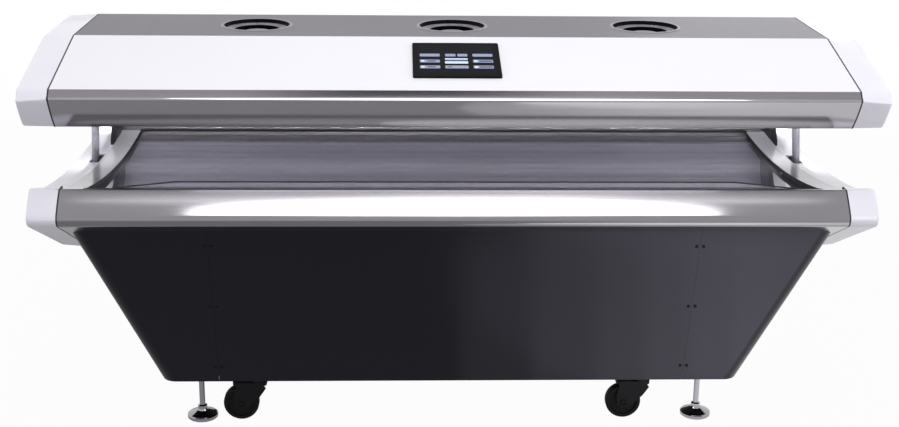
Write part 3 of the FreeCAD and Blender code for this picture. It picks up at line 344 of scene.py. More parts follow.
# Finishes by the record's slots
FINISHES = {
    "white_gloss": moulded_plastic("white_moulded_abs", "#F1F0F6", "#EBEAF2", rough=0.24, grain_mm=3.0),
    "white_sheet": powder_coat("white_powder_coat", "#F4F3F7", "#F1F0F5", rough=0.28, peel_mm=5.0,
                               coat=0.3, peel_strength=0.004, uneven=0.01),
    "grey_sheet": powder_coat("grey_powder_coat", "#605C65", "#59555E", rough=0.40, peel_mm=6.0,
                              peel_strength=0.05),
    "black_sheet": powder_coat("charcoal_powder_coat", "#111114", "#0D0D10", rough=0.30, peel_mm=6.0,
                               peel_strength=0.05, shine=0.32, gleam="#E0DCF6"),
    "satin_rail": drawn_metal("satin_drawn_aluminium", "#908D92", "#848186", rough=0.17, line_mm=2.0,
                              metallic=0.92, line_strength=0.012),
    "grey_trim": moulded_plastic("grey_gloss_acrylic", "#B4B3B8", "#A9A8AE", rough=0.16, grain_mm=4.0),
    "clear_acrylic": cast_acrylic("clear_cast_acrylic", "#DCDAE4", clear_share=0.9),
    "black_seal": moulded_rubber("black_seal_rubber", "#0C0C0D", "#070708"),
    "tray_sheet": drawn_metal("rolled_reflector_aluminium", "#A19DAC", "#9692A1", rough=0.36, line_mm=6.0,
                              metallic=0.3),
    "lamp_board": drawn_metal("anodised_board_aluminium", "#8F8B9B", "#858191", rough=0.40, line_mm=5.0,
                              metallic=0.3),
    "frame_steel": powder_coat("black_frame_powder_coat", "#17171A", "#111114", rough=0.42, peel_mm=5.0,
                               shine=0.15),
    "chrome": polished_chrome("bright_chrome_plate"),
    "strut_steel": powder_coat("silver_strut_paint", "#616069", "#595861", rough=0.3, peel_mm=3.0),
    "black_plastic": moulded_plastic("black_moulded_abs", "#101013", "#0A0A0C", rough=0.42, grain_mm=2.0,
                                     shine=0.02),
    "grey_plastic": moulded_plastic("grey_moulded_abs", "#8C8891", "#817D86", rough=0.40, grain_mm=2.5),
    "wheel_rubber": moulded_rubber("black_tyre_rubber", "#131315", "#0C0C0E", shine=0.15),
    "screen": screen_cover("display_cover_glass"),
}
for part in frame["record"]["subparts"]:
    mesh = nodes[part["node"]].data
    mesh.materials.clear()
    mesh.materials.append(FINISHES[part["material_slot"]])

# Finishes that only pieces made here have
# The canopy's front rail: the base rail's drawn aluminium painted lighter, a lit copy of that metal as
# painted light
rail_painted_lighter = drawn_metal("drawn_aluminium_painted_lighter", "#A6A3A8", "#9A979C", rough=0.13, line_mm=2.0,
                          metallic=0.92, line_strength=0.012)
polished_flute = drawn_metal("polished_drawn_aluminium", "#8F8B91", "#857F86", rough=0.07, line_mm=2.0,
                             metallic=0.92, line_strength=0.012)
pale_trim = moulded_plastic("pale_gloss_acrylic", "#DBD9E0", "#D2D0D7", rough=0.2, grain_mm=4.0)
lamp_cover = moulded_plastic("frosted_polycarbonate", "#A9A5B5", "#9E9AAA", rough=0.40, grain_mm=5.0)
pale_icon = lit_icon("pale_blue_display", "#8F99B8", "#808BAC", strength=0.12)
bright_icon = lit_icon("bright_display", "#D3E0F2", "#BFCFE8", strength=0.15)
deep_icon = lit_icon("deep_blue_display", "#2C3566", "#222A55", strength=0.1)


# Modelling steps

# The share of a face's normal along an axis, for a face that leans that way, looks that way or is flat
LEANING = 0.7
FACING = 0.9
FLAT = 0.99
# The least length of an edge that runs along the bed
LONG_EDGE = 1.0


def only(piece):
    """Leaves one piece selected and active, out of edit mode."""
    if bpy.context.mode != "OBJECT":
        bpy.ops.object.mode_set(mode="OBJECT")
    bpy.ops.object.select_all(action="DESELECT")
    piece.select_set(True)
    bpy.context.view_layer.objects.active = piece


def choose(piece, kind, test):
    """Opens a piece for editing with only those faces, edges or points selected that pass a test."""
    only(piece)
    bpy.ops.object.mode_set(mode="EDIT")
    bpy.ops.mesh.select_mode(type=kind)
    bpy.ops.mesh.select_all(action="DESELECT")
    bpy.ops.object.mode_set(mode="OBJECT")
    rows = {"FACE": piece.data.polygons, "EDGE": piece.data.edges, "VERT": piece.data.vertices}[kind]
    for row in rows:
        row.select = test(row)
    bpy.ops.object.mode_set(mode="EDIT")


def edge_ends(piece, edge):
    """The places of an edge's two points."""
    return [piece.data.vertices[i].co for i in edge.vertices]


def runs_along(piece, edge):
    """Tells whether an edge runs along the bed."""
    start, end = edge_ends(piece, edge)
    return abs(start.x - end.x) > LONG_EDGE


def close(piece, smooth_degrees=35):
    """Leaves edit mode and smooths the shading of what isn't a sharp edge."""
    bpy.ops.object.mode_set(mode="OBJECT")
    only(piece)
    bpy.ops.object.shade_smooth_by_angle(angle=math.radians(smooth_degrees))
    return piece


def settle(piece, name):
    """Puts a new primitive's place into its mesh."""
    bpy.ops.object.transform_apply(location=True, rotation=True, scale=True)
    piece.name = name
    piece.data.name = name
    return piece


def start_block(name, low, high):
    """A block between two corners, to be shaped further."""
    bpy.ops.object.select_all(action="DESELECT")
    low, high = Vector(low), Vector(high)
    bpy.ops.mesh.primitive_cube_add(size=1, location=(low + high) / 2)
    bpy.context.object.scale = high - low
    return settle(bpy.context.object, name)


def start_round(name, centre, radius, depth, sides, turn=(0, 0, 0)):
    """A round bar about Z, or turned from there, to be shaped further."""
    bpy.ops.object.select_all(action="DESELECT")
    bpy.ops.mesh.primitive_cylinder_add(
        vertices=sides, radius=radius, depth=depth, location=centre, rotation=turn)
    return settle(bpy.context.object, name)


def start_plane(name, centre, width, depth):
    """A level sheet for the studio."""
    bpy.ops.object.select_all(action="DESELECT")
    bpy.ops.mesh.primitive_plane_add(size=1, location=centre)
    bpy.context.object.scale = (width, depth, 1)
    return settle(bpy.context.object, name)


def copy_to(piece, name, place):
    """A copy with its own mesh, put in place by a matrix."""
    made = bpy.data.objects.new(name, piece.data.copy())
    bpy.context.scene.collection.objects.link(made)
    made.data.transform(place)
    return made


def gather(name, members):
    """Joins copies to one piece of separate solids."""
    bpy.ops.object.select_all(action="DESELECT")
    for member in members:
        member.select_set(True)
    bpy.context.view_layer.objects.active = members[0]
    if len(members) > 1:
        bpy.ops.object.join()
    members[0].name = name
    return members[0]


def scrap(piece):
    """Takes away a pattern once its copies are made."""
    bpy.data.objects.remove(piece)


def dress(piece, body, finish, replaced=()):
    """Gives a piece its finish and lets it ride on its body."""
    piece.data.materials.clear()
    piece.data.materials.append(finish)
    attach(piece, body)
    if replaced:
        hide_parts(*replaced)
    return piece


def paint_faces(piece, finish, test):
    """Gives a second finish to the faces that pass a test."""
    piece.data.materials.append(finish)
    for face in piece.data.polygons:
        if test(face):
            face.material_index = 1


def merged_copy(node):
    """A copy of a CAD solid's mesh with its loose triangles merged to whole faces."""
    made = copy_to(nodes[node], node + "_finished", Matrix())
    only(made)
    bpy.ops.object.mode_set(mode="EDIT")
    bpy.ops.mesh.select_all(action="SELECT")
    bpy.ops.mesh.remove_doubles(threshold=0.00002)
    bpy.ops.mesh.dissolve_limited(angle_limit=math.radians(0.5))
    bpy.ops.object.mode_set(mode="OBJECT")
    return made


def sharp_edges(piece, degrees):
    """The edges between faces that meet at more than an angle."""
    meeting = {}
    for face in piece.data.polygons:
        for key in face.edge_keys:
            meeting.setdefault(key, []).append(face.normal)
    sharp = set()
    for key, normals in meeting.items():
        if len(normals) == 2 and normals[0].angle(normals[1], 0) > math.radians(degrees):
            sharp.add(key)
    return sharp


# End caps: the soft outer edges of a moulding
CAP_OUTSIDE = CAP_END - 0.0005


def round_cap(node, edge_radius):
    """An end cap with soft outer edges, kept within the bed's length."""
    cap = merged_copy(node)
    sharp = sharp_edges(cap, degrees=20)
    choose(cap, "EDGE", lambda edge: edge.key in sharp
           and any(abs(end.x) > CAP_OUTSIDE for end in edge_ends(cap, edge)))
    bpy.ops.mesh.bevel(offset=edge_radius, segments=4, affect="EDGES", clamp_overlap=True)
    close(cap, smooth_degrees=40)
    for point in cap.data.vertices:
        point.co.x = max(-CAP_END, min(CAP_END, point.co.x))
    return dress(cap, node_body[node], FINISHES["white_gloss"], [node])


for side_name in ("right", "left"):
    round_cap(f"base_{side_name}_cap", edge_radius=0.008)
    round_cap(f"canopy_{side_name}_cap", edge_radius=0.010)

# Fan rotors: black blades under the grey hub caps
for fan_name, _ in FANS:
    nodes[f"fan_rotor_{fan_name}"].data.materials[0] = FINISHES["black_plastic"]

# Front rail of the canopy: its drawn aluminium is painted lighter than the base rail's, as painted light; the
# narrow flute above its nose is polished, and mirrors the studio's flag
FLUTE_LOW_DEGREES = 36
FLUTE_HIGH_DEGREES = 50


def on_flute(face):
    """Tells whether a face of the rail is part of the flute, by its rise and its place."""
    rise = math.degrees(math.atan2(face.normal.z, -face.normal.y))
    return FLUTE_LOW_DEGREES < rise < FLUTE_HIGH_DEGREES and face.center.y < FLUTE_BACK


canopy_rail = merged_copy("canopy_front_rail")
close(canopy_rail, smooth_degrees=30)
dress(canopy_rail, "canopy", rail_painted_lighter, ["canopy_front_rail"])
paint_faces(canopy_rail, polished_flute, on_flute)

# Vent rings: grey bowls whose steep wall and throat are painted black, as painted shade for the inside of
# each bowl, with the floor lifted nearer the rim
VENT_LIFT = 0.009
FLOOR_LEVELS = (VENT_FLOOR - 0.0025, VENT_FLOOR + 0.0005)
WALL_LEVELS = (VENT_FLOOR + 0.009, VENT_FLOOR + 0.0105)
BOWL_INNER = THROAT + 0.001
BOWL_OUTER = VENT_RADIUS - 0.0035
RIM_INNER = VENT_RADIUS - 0.002
STEEP = 0.5


def from_fan_axis(spot):
    """The distance from a place to the axis of the nearest fan."""
    return min(math.hypot(spot.x - FAN_PITCH * place, spot.y) for _, place in FANS)


vents = merged_copy("vent_rings")
for (low, high), lift in ((WALL_LEVELS, VENT_LIFT / 2), (FLOOR_LEVELS, VENT_LIFT)):
    choose(vents, "VERT", lambda point: low < point.co.z < high
           and BOWL_INNER < from_fan_axis(point.co) < BOWL_OUTER)
    bpy.ops.transform.translate(value=(0, 0, lift))
close(vents, smooth_degrees=30)
dress(vents, "canopy", FINISHES["grey_plastic"], ["vent_rings"])
paint_faces(vents, FINISHES["black_plastic"],
            lambda face: from_fan_axis(face.center) < RIM_INNER and abs(face.normal.z) < STEEP)

# Saddle trims: the narrow edge toward the lying panel is painted with the black seal rubber, partly a seal
# there and partly painted shade under the trim's inner edge
saddle_trims = merged_copy("saddle_trims")
close(saddle_trims, smooth_degrees=30)
dress(saddle_trims, "base", FINISHES["grey_trim"], ["saddle_trims"])
paint_faces(saddle_trims, FINISHES["black_seal"],
            lambda face: face.normal.x * math.copysign(1, face.center.x) < -LEANING)

# Caster wheels: tyres with rounded shoulders
TREAD_RADIUS = WHEEL_RADIUS - 0.002
for corner, sign, _ in CORNERS:
    wheel_node = f"caster_wheel_{corner}"
    wheel = merged_copy(wheel_node)
    sharp = sharp_edges(wheel, degrees=50)
    axle = Vector((CASTER_X * sign - CASTER_TRAIL, AXLE_HEIGHT))
    choose(wheel, "EDGE", lambda edge: edge.key in sharp and all(
        (Vector((end.x, end.z)) - axle).length > TREAD_RADIUS for end in edge_ends(wheel, edge)))
    bpy.ops.mesh.bevel(offset=0.006, segments=4, affect="EDGES")
    close(wheel, smooth_degrees=30)
    dress(wheel, node_body[wheel_node], FINISHES["wheel_rubber"], [wheel_node])


def skirt_reach(height):
    """How far the skirt's front and rear stand from the middle at a height."""
    return SKIRT_FOOT + (height - SKIRT_BOTTOM) * math.tan(SKIRT_LEAN)


# Screws beside the skirt seams: pan heads with a socket, three pairs at each seam
SCREW_RADIUS = 0.0045
SCREW_RISE = 0.0022
SCREW_RIM = 0.0016
SOCKET_DEPTH = 0.0011
SCREW_LEVELS = (0.183, 0.383, 0.574)
SCREW_OFFSET = 0.0092
screw = start_round("screw_pattern", (0, 0, SCREW_RISE / 2), SCREW_RADIUS, SCREW_RISE, 18)
choose(screw, "FACE", lambda face: face.normal.z > FACING)
bpy.ops.mesh.bevel(offset=0.0009, segments=2, affect="EDGES")
choose(screw, "FACE", lambda face: face.normal.z > FLAT)
bpy.ops.mesh.inset(thickness=SCREW_RIM)
bpy.ops.transform.translate(value=(0, 0, -SOCKET_DEPTH))
close(screw)
for panel_name, facing in ENDS:
    screws = []
    for seam in (-SKIRT_SEAM, SKIRT_SEAM):
        for beside in (-SCREW_OFFSET, SCREW_OFFSET):
            for level in SCREW_LEVELS:
                turned = Matrix.Rotation((math.pi / 2 + SKIRT_LEAN) * -facing, 4, "X")
                spot = Matrix.Translation((seam + beside, skirt_reach(level) * facing, level))
                screws.append(copy_to(screw, "screw", spot @ turned))
    dress(gather(f"skirt_screws_{panel_name}", screws), "base", FINISHES["frame_steel"])
scrap(screw)

# Black rubber strips along the front and rear edges of the lying panel, by their y and z limits. Their black
# is partly a real seal and partly painted shade for the gaps between the rails and the panel
for strip_name, (front, back), (foot, top) in (
    ("panel_strip_front", (LAND_FRONT, LAND_FRONT + 0.013), (0.7268, 0.7414)),
    ("panel_strip_rear", (TROUGH_REAR - 0.006, TROUGH_REAR), (0.6784, 0.6855)),
):
    strip = start_block(strip_name, (-TRIM_INNER, front, foot), (TRIM_INNER, back, top))
    choose(strip, "EDGE", lambda edge: runs_along(strip, edge))
    bpy.ops.mesh.bevel(offset=0.002, segments=3, affect="EDGES")
    close(strip)
    dress(strip, "base", FINISHES["black_seal"])

# Raised front lip of the lying panel: clear acrylic in the front strip, with a black bead and sloping ends
LIP_FRONT = LAND_FRONT + 0.008
LIP_BACK = LAND_FRONT + 0.012
LIP_FOOT = 0.736
LIP_TOP = 0.757
LIP_FLAT = 0.725
LIP_END = 0.886
LIP_DROP = 0.017
LIP_BEAD = 0.003


def lip_line(x):
    """The height of the clear lip's top edge along the bed."""
    return LIP_TOP - LIP_DROP * max(0, (abs(x) - LIP_FLAT) / (LIP_END - LIP_FLAT))


def on_bead(face):
    """Tells whether a face lies wholly on or above the lip's top edge."""
    corners = [lip.data.vertices[i].co for i in face.vertices]
    return all(corner.z > lip_line(corner.x) - 0.0001 for corner in corners)


lip = start_block("panel_front_lip", (-LIP_END, LIP_FRONT, LIP_FOOT), (LIP_END, LIP_BACK, LIP_TOP))
for cut in (-LIP_FLAT, LIP_FLAT):
    choose(lip, "FACE", lambda face: True)
    bpy.ops.mesh.bisect(plane_co=(cut, 0, 0), plane_no=(1, 0, 0))
choose(lip, "VERT", lambda point: abs(point.co.x) > LIP_END - 0.01 and point.co.z > LIP_TOP - 0.001)
bpy.ops.transform.translate(value=(0, 0, -LIP_DROP))
choose(lip, "FACE", lambda face: face.normal.z > LEANING)
bpy.ops.mesh.extrude_region_move(TRANSFORM_OT_translate={"value": (0, 0, LIP_BEAD)})
close(lip)
dress(lip, "base", FINISHES["clear_acrylic"])
paint_faces(lip, FINISHES["black_seal"], on_bead)

# Pale edge trim on the sloping face of the rear rail, in line with the end trims
EDGE_TRIM_THICKNESS = 0.0012
EDGE_TRIM_FOOT = 0.6915
EDGE_TRIM_TOP = RAIL_TOP - 0.001
EDGE_TRIM_SLANT = 0.0252
edge_trim = start_block("rear_edge_trim", (-RAIL_HALF, TROUGH_REAR - EDGE_TRIM_THICKNESS, EDGE_TRIM_FOOT),
                        (RAIL_HALF, TROUGH_REAR, EDGE_TRIM_TOP))
choose(edge_trim, "VERT", lambda point: point.co.z > (EDGE_TRIM_FOOT + EDGE_TRIM_TOP) / 2)
bpy.ops.transform.translate(value=(0, EDGE_TRIM_SLANT, 0))
choose(edge_trim, "EDGE", lambda edge: runs_along(edge_trim, edge))
bpy.ops.mesh.bevel(offset=0.0005, segments=2, affect="EDGES")
close(edge_trim)
dress(edge_trim, "base", pale_trim)

# Lamp bars: long half-round covers of frosted polycarbonate, laid along each board
LAMP_BAR_RADIUS = 0.013
LAMP_BAR_RISE = 0.006
LAMP_BAR_LENGTH = BOARD_HALF * 2 - 0.02
LAMP_BAR_CUT = 0.0005
bar = start_round("bar_pattern", (0, 0, 0), LAMP_BAR_RADIUS, LAMP_BAR_LENGTH, 20, (0, math.pi / 2, 0))
choose(bar, "FACE", lambda face: True)
bpy.ops.mesh.bisect(plane_co=(0, 0, LAMP_BAR_CUT), plane_no=(0, 0, 1), use_fill=True, clear_inner=True)
bpy.ops.mesh.select_all(action="SELECT")
bpy.ops.transform.resize(value=(1, 1, LAMP_BAR_RISE / LAMP_BAR_RADIUS))
close(bar)


def tray_line(y):
    """The height of the base's boards: level on the tray's floor, and rising to the front and rear."""
    front_slope = (TRAY_FRONT_TOP - TRAY_FLOOR) / (TRAY_FRONT - LEDGE_FRONT)
    rear_slope = (TRAY_REAR_TOP - TRAY_FLOOR) / (LEDGE_REAR - TRAY_REAR)
    rise = max(0, TRAY_FRONT - y) * front_slope + max(0, y - TRAY_REAR) * rear_slope
    return TRAY_FLOOR + rise + BOARD_RISE


def ceiling_line(y):
    """The height of the canopy's boards: level in the middle, and falling to the front and rear."""
    slope = (LAMP_CEILING - LAMP_SPRING) / (CANOPY_WALL - LAMP_HALF)
    return LAMP_CEILING - max(0, abs(y) - LAMP_HALF) * slope - BOARD_RISE


def lay_bars(name, body, count, first, last, board_line, turn):
    """Lays bars evenly across a board between two y places. A half turn makes them hang below it."""
    start = Vector((0, first, board_line(first)))
    run = Vector((0, last, board_line(last))) - start
    out = Matrix.Rotation(math.atan2(run.z, run.y) + turn, 4, "X")
    bars = []
    for i in range(count):
        spot = start + run * ((i + 0.5) / count)
        bars.append(copy_to(bar, "bar", Matrix.Translation(spot) @ out))
    return dress(gather(name, bars), body, lamp_cover)


for board_name, count, first, last in (
    ("front", 5, LEDGE_FRONT + 0.024, TRAY_FRONT - 0.010),
    ("floor", 9, TRAY_FRONT + 0.012, TRAY_REAR - 0.012),
    ("rear", 6, TRAY_REAR + 0.010, LEDGE_REAR - 0.016),
):
    lay_bars(f"base_{board_name}_lamp_bars", "base", count, first, last, tray_line, turn=0)
for board_name, count, first, last in (
    ("front", 4, -CANOPY_WALL + 0.020, -LAMP_HALF - 0.010),
    ("rear", 4, LAMP_HALF + 0.010, CANOPY_WALL - 0.020),
    ("middle", 11, -LAMP_HALF + 0.012, LAMP_HALF - 0.012),
):
    lay_bars(f"canopy_{board_name}_lamp_bars", "canopy", count, first, last, ceiling_line, turn=math.pi)
scrap(bar)

# Lit patches of the touch screen, without lettering: rows of bars in three columns
ICON_RISE = 0.0003
SLIDE_RISE = ICON_RISE * 2
COLUMN_X = 0.069
LOW_ROW = 0.057
MIDDLE_ROW = 0.0925
HIGH_ROW = 0.129
SLIDE_ROWS = (LOW_ROW, MIDDLE_ROW)
icon_place = (Matrix.Translation((0, SCREEN_Y, SCREEN_Z)) @ Matrix.Rotation(SCREEN_LEAN, 4, "X")
              @ Matrix.Translation((0, 0, SCREEN_FACE)))


def stands_up(piece, edge, rise):
    """Tells whether an edge stands up from the screen's face."""
    start, end = edge_ends(piece, edge)
    return abs(start.z - end.z) > rise / 2


def add_icons(name, finish, spots, rise=ICON_RISE):
    """Thin rounded bars at (x, y, width, height) places on the screen's face."""
    icons = []
    for x, y, width, height in spots:
        icon = start_block("icon", (x - width / 2, y - height / 2, 0), (x + width / 2, y + height / 2, rise))
        choose(icon, "EDGE", lambda edge: stands_up(icon, edge, rise))
        bpy.ops.mesh.bevel(offset=0.002, segments=2, affect="EDGES")
        close(icon)
        icon.data.transform(icon_place)
        icons.append(icon)
    dress(gather(name, icons), "canopy", finish)


add_icons("display_pale_bars", pale_icon, [
    *((side * COLUMN_X, y, 0.052, 0.017) for side in (-1, 1) for y in (LOW_ROW, MIDDLE_ROW, HIGH_ROW)),
    (-0.015, HIGH_ROW, 0.027, 0.016),
    (0.0165, HIGH_ROW, 0.026, 0.016),
    (0, LOW_ROW, 0.060, 0.017),
])
add_icons("display_bright_bar", bright_icon, [
    (0, MIDDLE_ROW - 0.008, 0.060, 0.014),
    (0, MIDDLE_ROW + 0.013, 0.060, 0.008),
])
add_icons("display_blue_bar", deep_icon, [(0, MIDDLE_ROW + 0.004, 0.058, 0.008)])
add_icons("display_slide_knobs", bright_icon, [
    (side * COLUMN_X - 0.0185, y, 0.009, 0.011) for side in (-1, 1) for y in SLIDE_ROWS
], SLIDE_RISE)
add_icons("display_slide_bars", deep_icon, [
    *((COLUMN_X + 0.0065, y, 0.034, 0.007) for y in SLIDE_ROWS),
    *((-COLUMN_X + 0.004, y, 0.022, 0.006) for y in SLIDE_ROWS),
    (-0.018, LOW_ROW, 0.012, 0.006),
], SLIDE_RISE)

# Fan hub caps: domed discs on the rotors, each with a shallow step
HUB_CAP_RADIUS = 0.0365
HUB_CAP_RISE = 0.011
HUB_CAP_MIDDLE = HUB_TOP + HUB_CAP_RISE / 2
for fan_name, place in FANS:
    cap = start_round(f"fan_hub_cap_{fan_name}", (FAN_PITCH * place, 0, HUB_CAP_MIDDLE), HUB_CAP_RADIUS,
                      HUB_CAP_RISE, 48)
    choose(cap, "FACE", lambda face: face.normal.z > FACING)
    bpy.ops.mesh.bevel(offset=0.004, segments=4, affect="EDGES")
    choose(cap, "FACE", lambda face: face.normal.z > FLAT)
    bpy.ops.mesh.inset(thickness=0.006)
    bpy.ops.mesh.inset(thickness=0.0012, depth=-0.0008)
    close(cap)
    dress(cap, f"fan_{fan_name}", FINISHES["grey_plastic"])

# Rear of the skirt: a pressed hood over each louvre slot, and the pins of the mains inlet
LOUVRE_COUNT = 9
LOUVRE_X = SKIRT_SEAM * 0.55
LOUVRE_FIRST = 0.324
LOUVRE_PITCH = 0.018
LOUVRE_HALF = 0.113
HOOD_DEPTH = 0.006
HOOD_HEIGHT = 0.009
HOOD_ABOVE = 0.005
HOOD_WALL = 0.0012
HOOD_HOLLOW = 0.004
hood = start_block("hood_pattern", (-LOUVRE_HALF, 0, 0), (LOUVRE_HALF, HOOD_DEPTH, HOOD_HEIGHT))
choose(hood, "EDGE", lambda edge: all(
    end.y > HOOD_DEPTH / 2 and end.z > HOOD_HEIGHT / 2 for end in edge_ends(hood, edge)))
bpy.ops.mesh.bevel(offset=0.005, segments=4, affect="EDGES")
choose(hood, "FACE", lambda face: face.normal.z < -FACING)
bpy.ops.mesh.inset(thickness=HOOD_WALL)
bpy.ops.transform.translate(value=(0, 0, HOOD_HOLLOW))
close(hood)
hoods = []
lean_back = Matrix.Rotation(-SKIRT_LEAN, 4, "X")
for side in (-1, 1):
    for i in range(LOUVRE_COUNT):
        height = LOUVRE_FIRST + LOUVRE_PITCH * i + HOOD_ABOVE
        spot = Matrix.Translation((LOUVRE_X * side, skirt_reach(height), height))
        hoods.append(copy_to(hood, "hood", spot @ lean_back))
dress(gather("louvre_hoods", hoods), "base", FINISHES["black_sheet"])
scrap(hood)
INLET_X = SKIRT_SEAM * 0.8
INLET_HEIGHT = SKIRT_BOTTOM + 0.092
PIN_HALF_WIDTH = 0.001
PIN_HALF_HEIGHT = 0.002
PIN_ROOT = 0.001
PIN_TIP = 0.0036
inlet_place = Matrix.Translation((INLET_X, skirt_reach(INLET_HEIGHT), INLET_HEIGHT)) @ lean_back
pins = []
for x, z in ((-0.007, -0.002), (0.007, -0.002), (0, 0.003)):
    pin = start_block("pin", (x - PIN_HALF_WIDTH, PIN_ROOT, z - PIN_HALF_HEIGHT),
                      (x + PIN_HALF_WIDTH, PIN_TIP, z + PIN_HALF_HEIGHT))
    choose(pin, "EDGE", lambda edge: all(end.y > (PIN_ROOT + PIN_TIP) / 2 for end in edge_ends(pin, edge)))
    bpy.ops.mesh.bevel(offset=0.0004, segments=2, affect="EDGES")
    close(pin)
    pin.data.transform(inlet_place)
    pins.append(pin)
dress(gather("inlet_pins", pins), "base", FINISHES["chrome"])

# Weld nuts under the frame rails, and the axle nuts of the caster forks
STEM_NUT_HEIGHT = 0.010
AXLE_NUT_HEIGHT = 0.005
FLAT_SHARE = 0.86
HOLE_MARGIN = 1.3


def add_nut(name, radius, hole, height):
    """A hexagon nut about Z with its edges broken and its thread hole open."""
    nut = start_round(name, (0, 0, 0), radius, height, 6)
    choose(nut, "FACE", lambda face: abs(face.normal.z) > FACING)
    bpy.ops.mesh.bevel(offset=0.0008, segments=2, affect="EDGES")
    choose(nut, "FACE", lambda face: abs(face.normal.z) > FLAT)
    bpy.ops.mesh.inset(thickness=radius * FLAT_SHARE - hole)
    bpy.ops.mesh.delete(type="FACE")
    choose(nut, "EDGE", lambda edge: all(end.xy.length < hole * HOLE_MARGIN for end in edge_ends(nut, edge)))
    bpy.ops.mesh.bridge_edge_loops()
    bpy.ops.mesh.select_all(action="SELECT")
    bpy.ops.mesh.normals_make_consistent(inside=False)
    return close(nut)


stem_nut = add_nut("stem_nut_pattern", radius=0.017, hole=0.0095, height=STEM_NUT_HEIGHT)
axle_nut = add_nut("axle_nut_pattern", radius=0.0095, hole=0.0062, height=AXLE_NUT_HEIGHT)
across_bed = Matrix.Rotation(math.pi / 2, 4, "X")
stem_nuts = []
for corner, sign, back in CORNERS:
    spot = Matrix.Translation((FOOT_X * sign, FOOT_Y * back, FRAME_FLOOR - STEM_NUT_HEIGHT / 2))
    stem_nuts.append(copy_to(stem_nut, "stem_nut", spot))
    pair = []
    for fork_side in (-1, 1):
        spot = Matrix.Translation((
            CASTER_X * sign - CASTER_TRAIL,
            CASTER_Y * back + (FORK_HALF + AXLE_NUT_HEIGHT / 2) * fork_side,
            AXLE_HEIGHT,
        ))
        pair.append(copy_to(axle_nut, "axle_nut", spot @ across_bed))
    dress(gather(f"axle_nuts_{corner}", pair), f"fork_{corner}", FINISHES["frame_steel"])
dress(gather("stem_nuts", stem_nuts), "base", FINISHES["frame_steel"])
scrap(stem_nut)
scrap(axle_nut)


# Studio: pale floor, a dark flag, white surroundings, soft lamps and the camera of the photograph

def shown_share(tree):
    """One for rays that show the surroundings: the camera's own, reflected and through glass."""
    path = add_node(tree, "ShaderNodeLightPath")
    seen = add_node(tree, "ShaderNodeMath", {
        0: path.outputs["Is Camera Ray"], 1: path.outputs["Is Glossy Ray"],
    }, operation="MAXIMUM")
    return add_node(tree, "ShaderNodeMath", {
        0: seen.outputs["Value"], 1: path.outputs["Is Transmission Ray"],
    }, operation="MAXIMUM").outputs["Value"]


FLOOR_WIDTH = 18.0
FLOOR_WHITE_SHARE = 0.97
FADE_START = 2.2
FADE_END = 6.0
DIM_SHARE = 0.5
DIM_END = 1.0
floor = start_plane("studio_floor", (0, 0, 0), FLOOR_WIDTH, FLOOR_WIDTH)
paint, tree, place = start_material("pale_floor_paint")
distance = add_node(tree, "ShaderNodeVectorMath", {0: place}, operation="LENGTH")
fade = add_node(tree, "ShaderNodeMapRange", {
    "Value": distance.outputs["Value"], "From Min": FADE_START, "From Max": FADE_END,
}, interpolation_type="SMOOTHSTEP")
matt = add_node(tree, "ShaderNodeBsdfDiffuse", {"Color": linear("#98989C")})
glow = add_node(tree, "ShaderNodeEmission", {"Color": linear("#FFFFFF"), "Strength": 1.0})
white_share = add_node(tree, "ShaderNodeMath", {
    0: shown_share(tree), 1: FLOOR_WHITE_SHARE,
}, operation="MULTIPLY")
pale = add_node(tree, "ShaderNodeMixShader", {
    0: white_share.outputs["Value"], 1: matt.outputs["BSDF"], 2: glow.outputs["Emission"],
})
# Mirrored in the object, the floor darkens toward the left, away from the lamp on the right
across = add_node(tree, "ShaderNodeSeparateXYZ", {0: place})
unlit = add_node(tree, "ShaderNodeMapRange", {
    "Value": across.outputs["X"], "From Min": 0.0, "From Max": DIM_END, "To Min": DIM_SHARE, "To Max": 0.0,
}, interpolation_type="SMOOTHSTEP")
mirrored = add_node(tree, "ShaderNodeLightPath")
dim_share = add_node(tree, "ShaderNodeMath", {
    0: mirrored.outputs["Is Glossy Ray"], 1: unlit.outputs["Result"],
}, operation="MULTIPLY")
dim = add_node(tree, "ShaderNodeBsdfDiffuse", {"Color": linear("#26262A")})
graded = add_node(tree, "ShaderNodeMixShader", {
    0: dim_share.outputs["Value"], 1: pale.outputs["Shader"], 2: dim.outputs["BSDF"],
})
away = add_node(tree, "ShaderNodeBsdfTransparent")
faded = add_node(tree, "ShaderNodeMixShader", {
    0: fade.outputs["Result"], 1: graded.outputs["Shader"], 2: away.outputs["BSDF"],
})
add_node(tree, "ShaderNodeOutputMaterial", {"Surface": faded.outputs["Shader"]})
floor.data.materials.append(paint)

# A dark flag high above the front: only the flute of the canopy's rail shows it, darkest in the middle
FLAG_X = -0.12
FLAG_WIDTH = 1.5
FLAG_DEPTH = 1.0
FLAG_DARK_HALF = 0.1
FLAG_SHEER_HALF = 0.72
FLAG_THINNEST = 0.2
flag = start_plane("studio_flag", (FLAG_X, -1.1, 2.5), FLAG_WIDTH, FLAG_DEPTH)
cloth, tree, place = start_material("black_flag_cloth")
across = add_node(tree, "ShaderNodeSeparateXYZ", {0: place})
from_middle = add_node(tree, "ShaderNodeMath", {0: across.outputs["X"], 1: -FLAG_X}, operation="ADD")
outward = add_node(tree, "ShaderNodeMath", {0: from_middle.outputs["Value"]}, operation="ABSOLUTE")
sheer = add_node(tree, "ShaderNodeMapRange", {
    "Value": outward.outputs["Value"], "From Min": FLAG_DARK_HALF, "From Max": FLAG_SHEER_HALF,
    "To Min": FLAG_THINNEST, "To Max": 1.0,
}, interpolation_type="SMOOTHSTEP")
shade = add_node(tree, "ShaderNodeBsdfDiffuse", {"Color": linear("#0C0C0E")})
gap = add_node(tree, "ShaderNodeBsdfTransparent")
